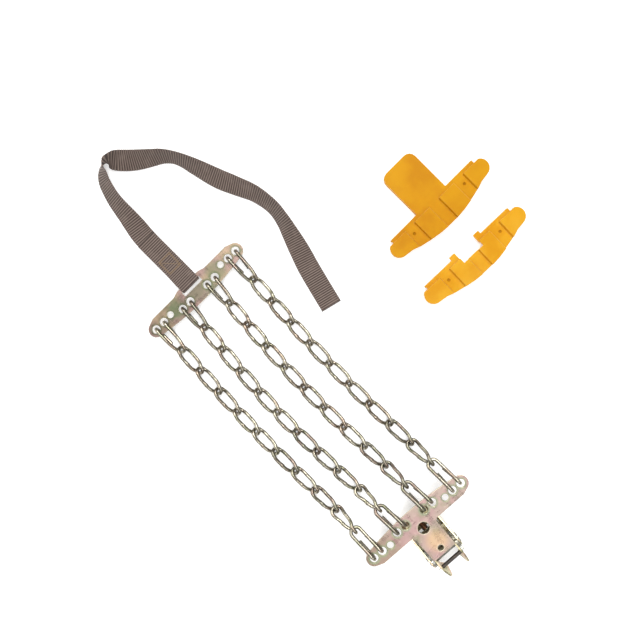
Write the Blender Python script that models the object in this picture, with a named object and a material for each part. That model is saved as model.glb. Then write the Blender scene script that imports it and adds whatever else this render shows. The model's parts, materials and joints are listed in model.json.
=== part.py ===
# Emergency traction mat for a car wheel: four twisted-link chains between two stamped plates,
# a webbing strap on one plate, a webbing ratchet under the other, and two snap-on plastic pads.
# Metres, +Z up. X runs along the chains from the strap plate to the ratchet plate.
# The mat lies on z = 0 with the faces that meet the tyre upwards.

import bpy
import bmesh
from math import acos, atan, cos, pi, radians, sin, sqrt, tan
from mathutils import Matrix, Vector

# ---------------------------------------------------------------- driving dimensions
# fits
touch_gap = 0.0003          # between pieces that touch
running_gap = 0.0003        # round a shaft in its hole, and beside a sliding plate

# chain
chain_count = 4
twisted_links = 9           # in each chain, between its two hook links
wire_radius = 0.0020
link_inner_length = 0.0335
link_inner_width = 0.0080
junction_slack = 0.00175    # between the wires of two links at a junction
chain_height = 0.0063       # junctions above the ground
end_twist = radians(45)     # each end of a link is turned this far from the flat
raised_junction_height = 0.0215
last_flat_height = 0.0078
chain_bows = (-0.007, -0.009, -0.011, -0.006)    # sideways sag of each chain, first chain at +Y

# hook links
hook_gap = 0.0054           # between a hook's leg and its tail, where the plate sits
tail_reach = 0.0240         # from the hole back along the tail
tail_rise = 0.0048          # how far the tail's end closes up on its leg
tail_inset = 0.0014
hook_reach = 0.0320         # level distance from an inner hole to the first junction
hook_twist_end = 0.0190     # the legs are straight from here on
ratchet_hook_shortening = 0.985     # of hook_reach, because these hooks slope

# plates
plate_thickness = 0.0025
plate_middle_width = 0.0257
lobe_radius = 0.0090
plate_end_corner = 0.0050   # the straight edge stops this far short of a lobe's middle
outer_chain_offset = 0.0570
inner_chain_offset = 0.0195
outer_hole_inset = 0.0114   # from the straight edge
inner_hole_inset = 0.0160
chain_hole_radius = 0.0047
pad_hole_offset = 0.0400
pad_hole_inset = 0.0107
pad_hole_radius = 0.0038
strap_plate_top = 0.0084
ratchet_plate_top = 0.0281
ratchet_plate_yaw = radians(4)    # clockwise from above
ratchet_plate_shift = -0.0047     # sideways from the strap plate's middle

# strap and its slot
strap_width = 0.0250
strap_thickness = 0.0017
slot_side_gap = 0.0010
slot_inner_edge = 0.0024    # from the straight edge to the slot
slot_width = 0.0058
slot_bulge = 0.0024         # the edge strip stands out this far behind the slot
bulge_length = 0.0410
bulge_shoulder = 0.0100     # length along the edge in which it rises
flap_length = 0.0705

# tongue of the ratchet plate
tongue_overhang = 0.0001    # past the ratchet frame on each side
tongue_length = 0.0350
tongue_fillet = 0.0045
tongue_chamfer = 0.0015
spring_window_radius = 0.0066
spring_window_inset = -0.0010
tongue_hole_radius = 0.0033
tongue_hole_offset = 0.0278

# ratchet
frame_sheet = 0.0018
frame_inner_width = strap_width + 0.0022
frame_start = -0.0125
frame_tab_width = 0.0120    # the lug that the lock spring pushes against
frame_tab_drop = 0.0040     # below the spindle's axis
frame_tab_thickness = 0.0015
frame_arch = 0.0060         # clear height under the frame between its feet
rear_foot = (0.0140, 0.0195)
ground_gap = 0.0002         # under whatever stands on the ground beside the handle
spindle_offset = 0.0360
spindle_height = 0.0143
spindle_radius = 0.0060
spindle_slit = 0.0024
spindle_end = 0.0013        # the spindle stands out of the handle
wheel_radius = 0.0140
wheel_root_radius = 0.0109
wheel_thickness = 0.0028
wheel_teeth = 12
side_clearance = 0.0004     # between frame, wheels and handle
handle_sheet = 0.0016
hub_radius = 0.0090
handle_rear = -0.0130
web_front = 0.0070
pawl_thickness = 0.0018
pawl_wing_length = 0.0107
lock_pawl_rear = 0.0060
lock_travel = 0.0040
drive_travel = 0.0040
drive_pawl_drop = 0.0088    # below the spindle's axis
drive_pawl_tip_gap = 0.0004
finger_tab = 0.0016         # the drive pawl stands out of the handle
pawl_end_play = 0.0005      # beyond its travel
crossbar_front = 0.0050
crossbar_depth = 0.0060
guide_pin_radius = 0.0022
guide_pin_offset = 0.0505
ear_length = 0.0145         # from the guide pin to the ear's tip
spring_wire_radius = 0.00055
lock_spring_radius = 0.0030
drive_spring_radius = 0.0021

# pads
pad_length = 0.1500
pad_width = 0.0350
pad_sheet = 0.0025
pad_lobe_radius = 0.0106
pad_low_top = 0.0070
pad_band_rise = 0.0040
pad_skirt_start = 0.0045    # the stepped deck starts behind a rib here
pad_strip = 0.0060          # width of the flat strip along the straight edge
band_slope = 0.0012
centre_band_half = 0.0075
boss_band_inner = 0.0313
boss_band_outer = 0.0460
peg_clearance = 0.0004
peg_inset = 0.0136
tongue_pad_stem_length = 0.0573
tongue_pad_stem_width = 0.0460
stem_corner = 0.0090
pad_notch_width = strap_width + 0.0042
pad_notch_depth = 0.0114
tab_length = 0.0043
tab_width = 0.0080

# where the pieces lie; these put the middle of the whole outline on the origin
strap_plate_place = Vector((-0.22082, -0.12916, 0.0))
tongue_pad_place = Vector((-0.0933, 0.13094, 0.0))
notched_pad_place = Vector((-0.0276, 0.1217, 0.0))
notched_pad_turn = radians(-1.5)

# the strap's free run: along, across (from the strap plate's straight edge and middle) and its tilt
# in degrees: first its inner edge rises, at the corner it stands on edge, then it lies turned over
strap_route = (
    (-0.0640, 0.0000, 0), (-0.0780, 0.0006, 0), (-0.0900, 0.0024, -13), (-0.1030, 0.0042, -28),
    (-0.1150, 0.0054, -37), (-0.1270, 0.0072, -42), (-0.1385, 0.0102, -45), (-0.1480, 0.0136, -47),
    (-0.1552, 0.0184, -51), (-0.1604, 0.0246, -64), (-0.1618, 0.0310, -92), (-0.1594, 0.0362, -124),
    (-0.1550, 0.0412, -147), (-0.1490, 0.0472, -151), (-0.1420, 0.0545, -145), (-0.1350, 0.0628, -135),
    (-0.1285, 0.0710, -125), (-0.1215, 0.0798, -117), (-0.1125, 0.0872, -113), (-0.1012, 0.0928, -118),
    (-0.0850, 0.0985, -130), (-0.0600, 0.1068, -144), (-0.0400, 0.1152, -140), (-0.0180, 0.1240, -130),
    (0.0062, 0.1276, -124), (0.0260, 0.1250, -128), (0.0430, 0.1204, -140), (0.0640, 0.1143, -158),
    (0.0838, 0.1082, -170), (0.1080, 0.1020, -177), (0.1328, 0.0959, -180))

# ---------------------------------------------------------------- derived sizes
link_pitch = link_inner_length - junction_slack
link_centre_radius = link_inner_width / 2 + wire_radius
arc_centre = link_inner_length / 2 - link_inner_width / 2
hook_bend_radius = (hook_gap + 2 * wire_radius) / 2
row_count = twisted_links + 2
chain_offsets = (outer_chain_offset, inner_chain_offset, -inner_chain_offset, -outer_chain_offset)
lobe_centre_y = outer_chain_offset + link_centre_radius
lobe_centre_x = outer_hole_inset
frame_inner_half = frame_inner_width / 2
frame_outer_half = frame_inner_half + frame_sheet
tongue_width = 2 * (frame_outer_half + tongue_overhang)
ear_tip = guide_pin_offset + ear_length
wheel_inner_face = frame_outer_half + side_clearance
wheel_outer_face = wheel_inner_face + wheel_thickness
handle_inner_face = wheel_outer_face + side_clearance + 0.0001
handle_outer_face = handle_inner_face + handle_sheet
ratchet_base_top = ratchet_plate_top - plate_thickness - touch_gap


def clear_scene():
    for item in list(bpy.data.objects):
        bpy.data.objects.remove(item, do_unlink=True)


def new_collection(name):
    group = bpy.data.collections.new(name)
    bpy.context.scene.collection.children.link(group)
    return group


def make_material(name, color, roughness, metallic):
    result = bpy.data.materials.new(name)
    result.use_nodes = True
    shader = result.node_tree.nodes["Principled BSDF"]
    shader.inputs["Base Color"].default_value = (*color, 1.0)
    shader.inputs["Roughness"].default_value = roughness
    shader.inputs["Metallic"].default_value = metallic
    return result


def curve_to_mesh(curve, name):
    """The closed mesh of a curve, its caps welded to its walls."""
    holder = bpy.data.objects.new(name + "_curve", curve)
    bpy.context.scene.collection.objects.link(holder)
    depsgraph = bpy.context.evaluated_depsgraph_get()
    mesh = bpy.data.meshes.new_from_object(holder.evaluated_get(depsgraph))
    mesh.name = name
    work = bmesh.new()
    work.from_mesh(mesh)
    bmesh.ops.remove_doubles(work, verts=work.verts, dist=0.00001)
    bmesh.ops.recalc_face_normals(work, faces=work.faces)
    work.to_mesh(mesh)
    work.free()
    bpy.data.objects.remove(holder)
    bpy.data.curves.remove(curve)
    return mesh


def wire_mesh(name, points, radius, cyclic=False, resolution=1):
    """A round wire along points."""
    curve = bpy.data.curves.new(name, "CURVE")
    curve.dimensions = "3D"
    curve.bevel_depth = radius
    curve.bevel_resolution = resolution
    curve.use_fill_caps = True
    spline = curve.splines.new("POLY")
    spline.points.add(len(points) - 1)
    for slot, point in zip(spline.points, points):
        slot.co = (*point, 1.0)
    spline.use_cyclic_u = cyclic
    mesh = curve_to_mesh(curve, name)
    mesh.shade_smooth()
    mesh.set_sharp_from_angle(angle=radians(70))
    return mesh


def flat_mesh(name, loops, low, high):
    """A flat outline with holes, loops[0] outermost, from z = low to z = high."""
    curve = bpy.data.curves.new(name, "CURVE")
    curve.dimensions = "2D"
    curve.fill_mode = "BOTH"
    curve.extrude = (high - low) / 2
    for loop in loops:
        spline = curve.splines.new("POLY")
        spline.points.add(len(loop) - 1)
        for slot, point in zip(spline.points, loop):
            slot.co = (point[0], point[1], 0.0, 1.0)
        spline.use_cyclic_u = True
    mesh = curve_to_mesh(curve, name)
    mesh.transform(Matrix.Translation((0, 0, (high + low) / 2)))
    return mesh


def upright_mesh(name, loops, low, high):
    """An outline in the XZ plane, from y = low to y = high."""
    mesh = flat_mesh(name, loops, -high, -low)
    mesh.transform(Matrix.Rotation(pi / 2, 4, "X"))
    return mesh


def arc(centre, radius, start, stop, steps):
    """Points on an arc, its angles in radians, both ends included."""
    return [(centre[0] + radius * cos(start + (stop - start) * i / steps),
             centre[1] + radius * sin(start + (stop - start) * i / steps)) for i in range(steps + 1)]


def circle(centre, radius, steps=16):
    return arc(centre, radius, 0.0, 2 * pi * (steps - 1) / steps, steps - 1)


def rectangle(x_low, x_high, y_low, y_high):
    return [(x_low, y_low), (x_high, y_low), (x_high, y_high), (x_low, y_high)]


def rounded_corner(corner, radius, start, steps=4):
    """A quarter turn round the inside of a square corner, starting at the angle start."""
    middle = start + pi / 4
    centre = (corner[0] - radius * sqrt(2) * cos(middle), corner[1] - radius * sqrt(2) * sin(middle))
    return arc(centre, radius, start, start + pi / 2, steps)


class Kit:
    """The collections and materials, and the way pieces are put in them."""

    def __init__(self):
        self.parts = new_collection("tyre_chain_mat")
        self.cutters = new_collection("cutters")
        self.zinc = make_material("yellow_zinc_plate", (0.62, 0.46, 0.36), 0.38, 0.85)
        self.chain = make_material("zinc_chain_wire", (0.52, 0.48, 0.38), 0.34, 0.9)
        self.ratchet = make_material("ratchet_steel", (0.55, 0.52, 0.40), 0.36, 0.9)
        self.spring = make_material("coppered_spring", (0.70, 0.36, 0.20), 0.35, 0.9)
        self.webbing = make_material("brown_webbing", (0.19, 0.13, 0.11), 0.85, 0.0)
        self.plastic = make_material("orange_plastic", (0.86, 0.40, 0.03), 0.5, 0.0)

    def empty(self, name, place, turn=0.0, parent=None):
        holder = bpy.data.objects.new(name, None)
        holder.location = place
        holder.rotation_euler = (0, 0, turn)
        holder.parent = parent
        self.parts.objects.link(holder)
        return holder

    def piece(self, name, mesh, material, parent=None, origin=(0, 0, 0)):
        """A node of the object; its mesh is drawn in its parent's axes, its origin put at origin."""
        mesh.transform(Matrix.Translation(-Vector(origin)))
        item = bpy.data.objects.new(name, mesh)
        item.location = origin
        item.parent = parent
        item.data.materials.append(material)
        self.parts.objects.link(item)
        return item

    def combine(self, target, mesh, operation):
        """Joins a mesh to a piece or cuts it away, both drawn in the same parent's axes."""
        other = bpy.data.objects.new(mesh.name, mesh)
        other.parent = target.parent
        other.hide_render = True
        other.display_type = "WIRE"
        self.cutters.objects.link(other)
        step = target.modifiers.new(mesh.name, "BOOLEAN")
        step.operation = operation
        step.solver = "EXACT"
        step.object = other


# ---------------------------------------------------------------- chains

def junction_x(row):
    """Level place of the junction after this many rows, from the strap plate's straight edge."""
    first = inner_hole_inset + hook_reach
    flat = first + (row - 1) * link_pitch
    drop = raised_junction_height - last_flat_height
    if row < row_count - 1:
        return flat
    return first + (row_count - 3) * link_pitch + sqrt(link_pitch ** 2 - drop ** 2)


def ratchet_hole_x():
    return junction_x(row_count - 1) + hook_reach * ratchet_hook_shortening


def junction_height(row):
    heights = {0: strap_plate_top - plate_thickness / 2, row_count: ratchet_plate_top - plate_thickness / 2,
               row_count - 1: raised_junction_height, row_count - 2: last_flat_height}
    return heights.get(row, chain_height)


def mat_progress(row):
    """0 at the strap plate's inner holes, 1 at the ratchet plate's."""
    if row <= 0:
        return 0.0
    if row >= row_count:
        return 1.0
    return (junction_x(row) - inner_hole_inset) / (ratchet_hole_x() - inner_hole_inset)


def row_yaw(row):
    return ratchet_plate_yaw * mat_progress(row)


def row_middle(row):
    """The point of a row's hinge line on the mat's centre line."""
    along = inner_hole_inset if row == 0 else ratchet_hole_x() if row == row_count else junction_x(row)
    across = ratchet_plate_shift * mat_progress(row)
    return strap_plate_place + Vector((along, across, junction_height(row)))


def row_matrix(row):
    """The frame that a row of links hinges in, on its junctions nearest the ratchet plate."""
    return Matrix.Translation(row_middle(row)) @ Matrix.Rotation(-row_yaw(row), 4, "Z")


def junction(chain, row):
    progress = mat_progress(row)
    sideways = chain_offsets[chain] + chain_bows[chain] * sin(pi * progress)
    return row_middle(row) + Vector((sideways * tan(row_yaw(row)), sideways, 0))


def twisted_link_points():
    """The centre line of a link turned through 90 degrees from end to end, along X."""
    flat = arc((arc_centre, 0), link_centre_radius, -pi / 2, pi / 2, 4)
    flat += [(arc_centre - 2 * arc_centre * i / 4, link_centre_radius) for i in range(1, 4)]
    flat += arc((-arc_centre, 0), link_centre_radius, pi / 2, 3 * pi / 2, 4)
    flat += [(-arc_centre + 2 * arc_centre * i / 4, -link_centre_radius) for i in range(1, 4)]
    points = []
    for x, y in flat:
        turn = end_twist * max(-1.0, min(1.0, x / arc_centre))
        points.append((x, y * cos(turn), y * sin(turn)))
    return points


def chord_frame(start, stop):
    """A frame at start whose X points at stop, its Z as near upright as that allows."""
    along = (stop - start).normalized()
    side = Vector((0, 0, 1)).cross(along).normalized()
    up = along.cross(side)
    frame = Matrix((along, side, up)).transposed().to_4x4()
    frame.translation = start
    return frame


def hook_slope(drop_from, run):
    """Angle of a leg that just clears the plate's top edge and falls to its junction over run."""
    slope = 0.2
    for _ in range(20):
        slope = atan((drop_from + touch_gap + wire_radius / cos(slope)) / run)
    return slope


def hook_link_points(reach, depth):
    """Centre line of a hook link: its closed end round the junction at the origin, its legs along +X
    over the plate's edge, down through two holes at reach and back beneath the plate.
    depth is how far the holes lie below the legs, square to them."""
    bend_offset = sqrt(hook_bend_radius ** 2 - (hook_bend_radius - depth) ** 2)
    bend_x = reach - bend_offset
    end_slack = (link_inner_length - link_pitch) / 2
    round_centre = link_inner_width / 2 - end_slack
    half = []
    tail_end = reach - tail_reach
    tail_y = link_centre_radius - tail_inset
    half.append((tail_end, tail_y, -2 * hook_bend_radius + tail_rise))
    half.append(((tail_end + bend_x) / 2, (tail_y + link_centre_radius) / 2,
                 -2 * hook_bend_radius + tail_rise * 0.42))
    for i in range(7):
        angle = -pi / 2 + pi * i / 6
        half.append((bend_x + hook_bend_radius * cos(angle), link_centre_radius,
                     -hook_bend_radius + hook_bend_radius * sin(angle)))
    half.append((hook_twist_end, link_centre_radius, 0.0))
    half.append(((hook_twist_end + round_centre) / 2, link_centre_radius, 0.0))
    bend = arc((round_centre, 0), link_centre_radius, pi / 2, 3 * pi / 2, 6)
    closed_end = [(x, y, 0.0) for x, y in bend]
    other_half = [(x, -y, z) for x, y, z in reversed(half)]
    points = []
    for x, y, z in half + closed_end + other_half:
        share = max(0.0, min(1.0, (hook_twist_end - x) / (hook_twist_end - round_centre)))
        turn = -end_twist * share if z == 0.0 else 0.0
        points.append((x, y * cos(turn) - z * sin(turn), y * sin(turn) + z * cos(turn)))
    return points


def place_link(kit, chain, row, mesh, frame, holder):
    item = bpy.data.objects.new("chain_%d_link_%02d" % (chain + 1, row), mesh)
    item.parent = holder
    item.matrix_local = row_matrix(row).inverted() @ frame
    kit.parts.objects.link(item)


def build_chains(kit):
    """Row by row across the mat: a link of every chain, hung on one empty on the row's hinge line."""
    shared = wire_mesh("twisted_link", twisted_link_points(), wire_radius, cyclic=True)
    shared.materials.append(kit.chain)
    for row in range(1, row_count + 1):
        holder = kit.empty("row_%02d_hinge" % row, row_middle(row), -row_yaw(row))
        for chain in range(chain_count):
            if row == 1:
                mesh, frame = hook_link(kit, chain, row, strap_plate_top, strap_plate_matrix())
            elif row == row_count:
                mesh, frame = hook_link(kit, chain, row - 1, ratchet_plate_top, ratchet_plate_matrix())
            else:
                start, stop = junction(chain, row - 1), junction(chain, row)
                mesh = shared
                frame = chord_frame(start, stop) @ Matrix.Translation(((stop - start).length / 2, 0, 0))
            place_link(kit, chain, row, mesh, frame, holder)


def hook_link(kit, chain, near_row, plate_top, plate_matrix):
    """The open link between a plate and its chain's first junction: its mesh and its frame."""
    corner = junction(chain, near_row)
    hole = plate_matrix @ Vector((hole_inset(chain), chain_offsets[chain], 0))
    hole.z = plate_top - plate_thickness / 2
    level = Vector((hole.x - corner.x, hole.y - corner.y, 0))
    edge_lever = plate_edge_x(abs(chain_offsets[chain]) - link_centre_radius) - hole_inset(chain)
    slope = hook_slope(plate_top - corner.z, level.length - edge_lever)
    over = corner + level.normalized() * level.length + Vector((0, 0, level.length * tan(slope)))
    frame = chord_frame(corner, over)
    local = frame.inverted() @ hole
    mesh = wire_mesh("hook_link", hook_link_points(local.x, -local.z), wire_radius)
    mesh.materials.append(kit.chain)
    return mesh, frame


# ---------------------------------------------------------------- plates

def hole_inset(chain):
    outer = chain in (0, chain_count - 1)
    return outer_hole_inset if outer else inner_hole_inset


def plate_edge_x(y):
    """The arched edge: plate width at a distance y from the middle."""
    fall = plate_middle_width - (lobe_centre_x + lobe_radius)
    return plate_middle_width - fall * (y / lobe_centre_y) ** 2


def bar_outline(back_points):
    """The bar with the chain side at +X; back_points run down the straight edge, from +Y to -Y."""
    edge = [(plate_edge_x(y), y) for y in
            [lobe_centre_y * (-1 + i / 6) for i in range(13)]]
    start = radians(165)
    top = arc((lobe_centre_x, lobe_centre_y), lobe_radius, 0.0, start, 8)
    bottom = arc((lobe_centre_x, -lobe_centre_y), lobe_radius, -start, 0.0, 8)
    return edge[:-1] + top + back_points + bottom[:-1]


def bar_holes():
    holes = []
    for chain, offset in enumerate(chain_offsets):
        for side in (-1, 1):
            middle = (hole_inset(chain), offset + side * link_centre_radius)
            holes.append(circle(middle, chain_hole_radius))
    for side in (-1, 1):
        holes.append(circle((pad_hole_inset, side * pad_hole_offset), pad_hole_radius))
    return holes


def strap_plate_matrix():
    return Matrix.Translation(strap_plate_place)


def strap_hinge():
    """Where the strap plate hinges on the first row, in the plate's own axes."""
    return row_middle(0) - strap_plate_place


def ratchet_plate_origin():
    """The ratchet plate's straight edge, on the mat's centre line."""
    hole_line = row_middle(row_count)
    along = Vector((cos(ratchet_plate_yaw), -sin(ratchet_plate_yaw), 0))
    return Vector((hole_line.x, hole_line.y, 0)) + inner_hole_inset * along


def ratchet_plate_matrix():
    """The bar drawn with its chain side at +X is turned half round for the ratchet plate."""
    place = Matrix.Translation(ratchet_plate_origin()) @ Matrix.Rotation(-ratchet_plate_yaw, 4, "Z")
    return place @ Matrix.Diagonal((-1, 1, 1, 1))


def build_strap_plate(kit):
    holder = kit.empty("strap_plate_origin", strap_plate_place)
    corner_y = lobe_centre_y - plate_end_corner
    bulge = bulge_length / 2
    shoulder = bulge_shoulder / 2
    back = [(0, corner_y), (0, bulge + shoulder), (-slot_bulge, bulge - shoulder),
            (-slot_bulge, -bulge + shoulder), (0, -bulge - shoulder), (0, -corner_y)]
    slot_half = strap_width / 2 + slot_side_gap
    slot = rectangle(slot_inner_edge, slot_inner_edge + slot_width, -slot_half, slot_half)
    mesh = flat_mesh("strap_plate", [bar_outline(back)] + bar_holes() + [slot],
                     strap_plate_top - plate_thickness, strap_plate_top)
    kit.piece("strap_plate", mesh, kit.zinc, holder, strap_hinge())


def build_ratchet_plate(kit, holder):
    """Drawn with the bar's chain side at +X, then mirrored so that it faces -X."""
    corner_y = lobe_centre_y - plate_end_corner
    half = tongue_width / 2
    fillet = tongue_fillet
    upper = arc((-fillet, half + fillet), fillet, 0.0, -pi / 2, 4)
    lower = arc((-fillet, -half - fillet), fillet, pi / 2, 0.0, 4)
    tip = tongue_chamfer
    back = [(0, corner_y)] + upper + [(-tongue_length + tip, half), (-tongue_length, half - tip),
                                      (-tongue_length, -half + tip), (-tongue_length + tip, -half)]
    back += lower + [(0, -corner_y)]
    holes = bar_holes()
    holes.append(circle((-spring_window_inset, 0), spring_window_radius, 24))
    holes.append(circle((-tongue_hole_offset, 0), tongue_hole_radius))
    loops = [[(-x, y) for x, y in loop] for loop in [bar_outline(back)] + holes]
    mesh = flat_mesh("ratchet_plate", loops, ratchet_plate_top - plate_thickness, ratchet_plate_top)
    kit.piece("ratchet_plate", mesh, kit.zinc, holder)


# ---------------------------------------------------------------- strap

def smooth_path(points, step, turn_step):
    """Catmull-Rom samples through points of a place and a tilt, about step and turn_step apart."""
    ends = [2 * points[0] - points[1]] + points + [2 * points[-1] - points[-2]]
    result = []
    for a, b, c, d in zip(ends, ends[1:], ends[2:], ends[3:]):
        count = max(1, round((c - b).xy.length / step), round(abs(c.z - b.z) / turn_step))
        for i in range(count):
            t = i / count
            result.append(0.5 * (2 * b + (c - a) * t + (2 * a - 5 * b + 4 * c - d) * t * t
                                 + (3 * b - a - 3 * c + d) * t ** 3))
    result.append(points[-1])
    return result


def strap_sections():
    """Centre points and width directions, from the sewn flap's end round the edge strip to the free end."""
    half = strap_thickness / 2
    over = strap_plate_top + touch_gap + half
    under = strap_plate_top - plate_thickness - touch_gap - half
    outer = slot_inner_edge + touch_gap + half + 0.0004     # room for the curve round the strip
    ground = half + ground_gap
    upper = ground + strap_thickness + touch_gap
    chamfer = 0.0012
    loop = [(-flap_length, upper), (-0.050, upper), (-0.034, upper + 0.0002), (-0.024, upper + 0.0012),
            (-0.015, upper + 0.0036), (-0.007, over - 0.0006), (-slot_bulge - 0.0008, over),
            (outer - chamfer, over), (outer, over - chamfer), (outer, under + chamfer),
            (outer - chamfer, under), (-slot_bulge - 0.0008, under), (-0.008, under - 0.0012),
            (-0.016, ground + 0.0014), (-0.026, ground + 0.0001), (-0.050, ground)]
    side = Vector((0, -1, 0))
    sections = [(Vector((x, 0, z)), side) for x, z in loop]
    path = [Vector((-0.050, 0, 0))] + [Vector((x, y, radians(tilt))) for x, y, tilt in strap_route]
    samples = smooth_path(path, 0.009, radians(11))
    for i in range(1, len(samples)):
        x, y, tilt = samples[i]
        before = samples[i - 1]
        after = samples[min(i + 1, len(samples) - 1)]
        heading = Vector((after[0] - before[0], after[1] - before[1], 0)).normalized()
        left = Vector((0, 0, 1)).cross(heading)
        height = strap_width / 2 * abs(sin(tilt)) + half * abs(cos(tilt)) + ground_gap
        sections.append((Vector((x, y, height)), left * cos(tilt) + Vector((0, 0, sin(tilt)))))
    return sections


def ribbon_mesh(name, sections, width, thickness):
    """A flat ribbon lofted through sections of a centre and a width direction."""
    work = bmesh.new()
    rings = []
    count = len(sections)
    for i, (centre, side) in enumerate(sections):
        before = sections[max(i - 1, 0)][0]
        after = sections[min(i + 1, count - 1)][0]
        heading = (after - before).normalized()
        across = (side - heading * side.dot(heading)).normalized()
        normal = heading.cross(across)
        corners = [centre + across * width / 2 * u + normal * thickness / 2 * v
                   for u, v in ((-1, -1), (1, -1), (1, 1), (-1, 1))]
        rings.append([work.verts.new(corner) for corner in corners])
    for ring, following in zip(rings, rings[1:]):
        for i in range(4):
            j = (i + 1) % 4
            if i == 2:      # split both broad faces along the same diagonal
                i, j = j, i
            work.faces.new((ring[i], ring[j], following[j]))
            work.faces.new((ring[i], following[j], following[i]))
    work.faces.new(rings[0])
    work.faces.new(rings[-1])
    bmesh.ops.recalc_face_normals(work, faces=work.faces)
    mesh = bpy.data.meshes.new(name)
    work.to_mesh(mesh)
    work.free()
    return mesh


def build_strap(kit):
    holder = kit.empty("strap_origin", strap_plate_place)
    mesh = ribbon_mesh("strap", strap_sections(), strap_width, strap_thickness)
    kit.piece("strap", mesh, kit.webbing, holder, strap_hinge())


# ---------------------------------------------------------------- ratchet

def half_moon(radius, flat_offset, side, steps=8):
    """A half circle cut off at flat_offset from its centre, on the +X or -X side."""
    angle = acos(flat_offset / radius)
    points = arc((spindle_offset, spindle_height), radius, -angle, angle, steps)
    if side < 0:
        points = [(2 * spindle_offset - x, z) for x, z in points]
    return points


def wheel_outline():
    points = []
    tooth = 2 * pi / wheel_teeth
    for i in range(wheel_teeth):
        for angle, radius in ((-6.5, wheel_root_radius), (6.5, wheel_root_radius),
                              (8.5, wheel_radius), (13.0, wheel_radius)):
            turn = pi + i * tooth + radians(angle)
            points.append((spindle_offset + radius * cos(turn), spindle_height + radius * sin(turn)))
    return points


def frame_profile():
    """One side plate of the frame: its ear round the guide pin, its edge under the tongue and its
    two feet."""
    top = ratchet_base_top - 0.0003
    pin = guide_pin_offset
    axle = spindle_height
    ear = [(pin - 0.0120, ground_gap), (pin - 0.0065, ground_gap), (pin - 0.0005, axle - 0.0125),
           (pin + 0.0055, axle - 0.0091), (pin + 0.0110, axle - 0.0051), (ear_tip - 0.0006, axle - 0.0018),
           (ear_tip, axle - 0.0003), (ear_tip - 0.0008, axle + 0.0012), (pin + 0.0095, axle + 0.0039),
           (pin + 0.0025, axle + 0.0069), (pin - 0.0055, axle + 0.0095), (tongue_length, top)]
    start, end = rear_foot
    back = [(frame_start, top), (frame_start, axle - 0.0043), (start - 0.0060, axle - 0.0057),
            (start - 0.0015, axle - 0.0063), (start, ground_gap), (end, ground_gap),
            (end + 0.0035, frame_arch), (spindle_offset - 0.0050, frame_arch)]
    return ear + back


def build_frame(kit, holder):
    wall_middle = frame_inner_half + frame_sheet / 2
    base = rectangle(frame_start, tongue_length - 0.0008, -wall_middle, wall_middle)
    window = circle((spring_window_inset, 0), spring_window_radius + 0.0003, 24)
    sight_hole = circle((tongue_hole_offset, 0), tongue_hole_radius)
    frame = kit.piece("ratchet_frame", flat_mesh("frame_base", [base, window, sight_hole],
                                                 ratchet_base_top - frame_sheet, ratchet_base_top),
                      kit.ratchet, holder)
    pawl_front = spindle_offset - wheel_root_radius - running_gap
    slot_rear = pawl_front - pawl_wing_length - lock_travel - pawl_end_play
    slot_front = pawl_front + running_gap
    slot_half = pawl_thickness / 2 + running_gap
    holes = [circle((spindle_offset, spindle_height), spindle_radius + running_gap, 24),
             circle((guide_pin_offset, spindle_height), guide_pin_radius + running_gap, 12),
             rectangle(slot_rear, slot_front, spindle_height - slot_half, spindle_height + slot_half)]
    for name, low in (("frame_side_left", frame_inner_half), ("frame_side_right", -frame_outer_half)):
        kit.combine(frame, upright_mesh(name, [frame_profile()] + holes, low, low + frame_sheet), "UNION")
    tab = rectangle(frame_start, frame_start + frame_tab_thickness,
                    spindle_height - frame_tab_drop, ratchet_base_top - frame_sheet / 2)
    kit.combine(frame, upright_mesh("frame_tab", [tab], -frame_tab_width / 2, frame_tab_width / 2), "UNION")


def build_lock_pawl(kit, holder):
    front = spindle_offset - wheel_root_radius - running_gap
    inner = frame_inner_half - running_gap
    outer = wheel_outer_face
    wing = front - pawl_wing_length
    outline = [(lock_pawl_rear, -inner), (wing, -inner), (wing, -outer), (front, -outer),
               (front, outer), (wing, outer), (wing, inner), (lock_pawl_rear, inner)]
    mesh = flat_mesh("lock_pawl", [outline], spindle_height - pawl_thickness / 2,
                     spindle_height + pawl_thickness / 2)
    kit.piece("lock_pawl", mesh, kit.ratchet, holder)


def coil_points(rear, front, radius, height, turns):
    """A coil spring along X with its ends closed up."""
    steps = turns * 8
    points = []
    for i in range(steps + 1):
        angle = 2 * pi * i / 8
        points.append((rear + (front - rear) * i / steps, radius * cos(angle), height + radius * sin(angle)))
    return points


def build_springs(kit, holder, handle_origin):
    lock_front = lock_pawl_rear - running_gap - spring_wire_radius
    lock_rear = frame_start + frame_tab_thickness + lock_travel + pawl_end_play + spring_wire_radius
    coil = coil_points(lock_rear, lock_front, lock_spring_radius, spindle_height, 5)
    kit.piece("lock_spring", wire_mesh("lock_spring", coil, spring_wire_radius), kit.spring, holder)
    drive_front = crossbar_front - crossbar_depth - running_gap - spring_wire_radius
    drive_rear = handle_rear + handle_sheet + drive_travel + pawl_end_play + spring_wire_radius
    coil = coil_points(drive_rear, drive_front, drive_spring_radius, spindle_height - drive_pawl_drop, 3)
    mesh = wire_mesh("drive_spring", coil, spring_wire_radius)
    kit.piece("drive_spring", mesh, kit.spring, holder, handle_origin)


def build_spindle(kit, holder, origin):
    length = handle_outer_face + spindle_end
    for name, side in (("spindle_half_front", 1), ("spindle_half_back", -1)):
        mesh = upright_mesh(name, [half_moon(spindle_radius, spindle_slit / 2, side, 10)], -length, length)
        kit.piece(name, mesh, kit.ratchet, holder, origin)
    for name, low in (("ratchet_wheel_left", wheel_inner_face), ("ratchet_wheel_right", -wheel_outer_face)):
        holes = [half_moon(spindle_radius + running_gap, spindle_slit / 2 - running_gap, side)
                 for side in (1, -1)]
        mesh = upright_mesh(name, [wheel_outline()] + holes, low, low + wheel_thickness)
        kit.piece(name, mesh, kit.ratchet, holder, origin)


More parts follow.
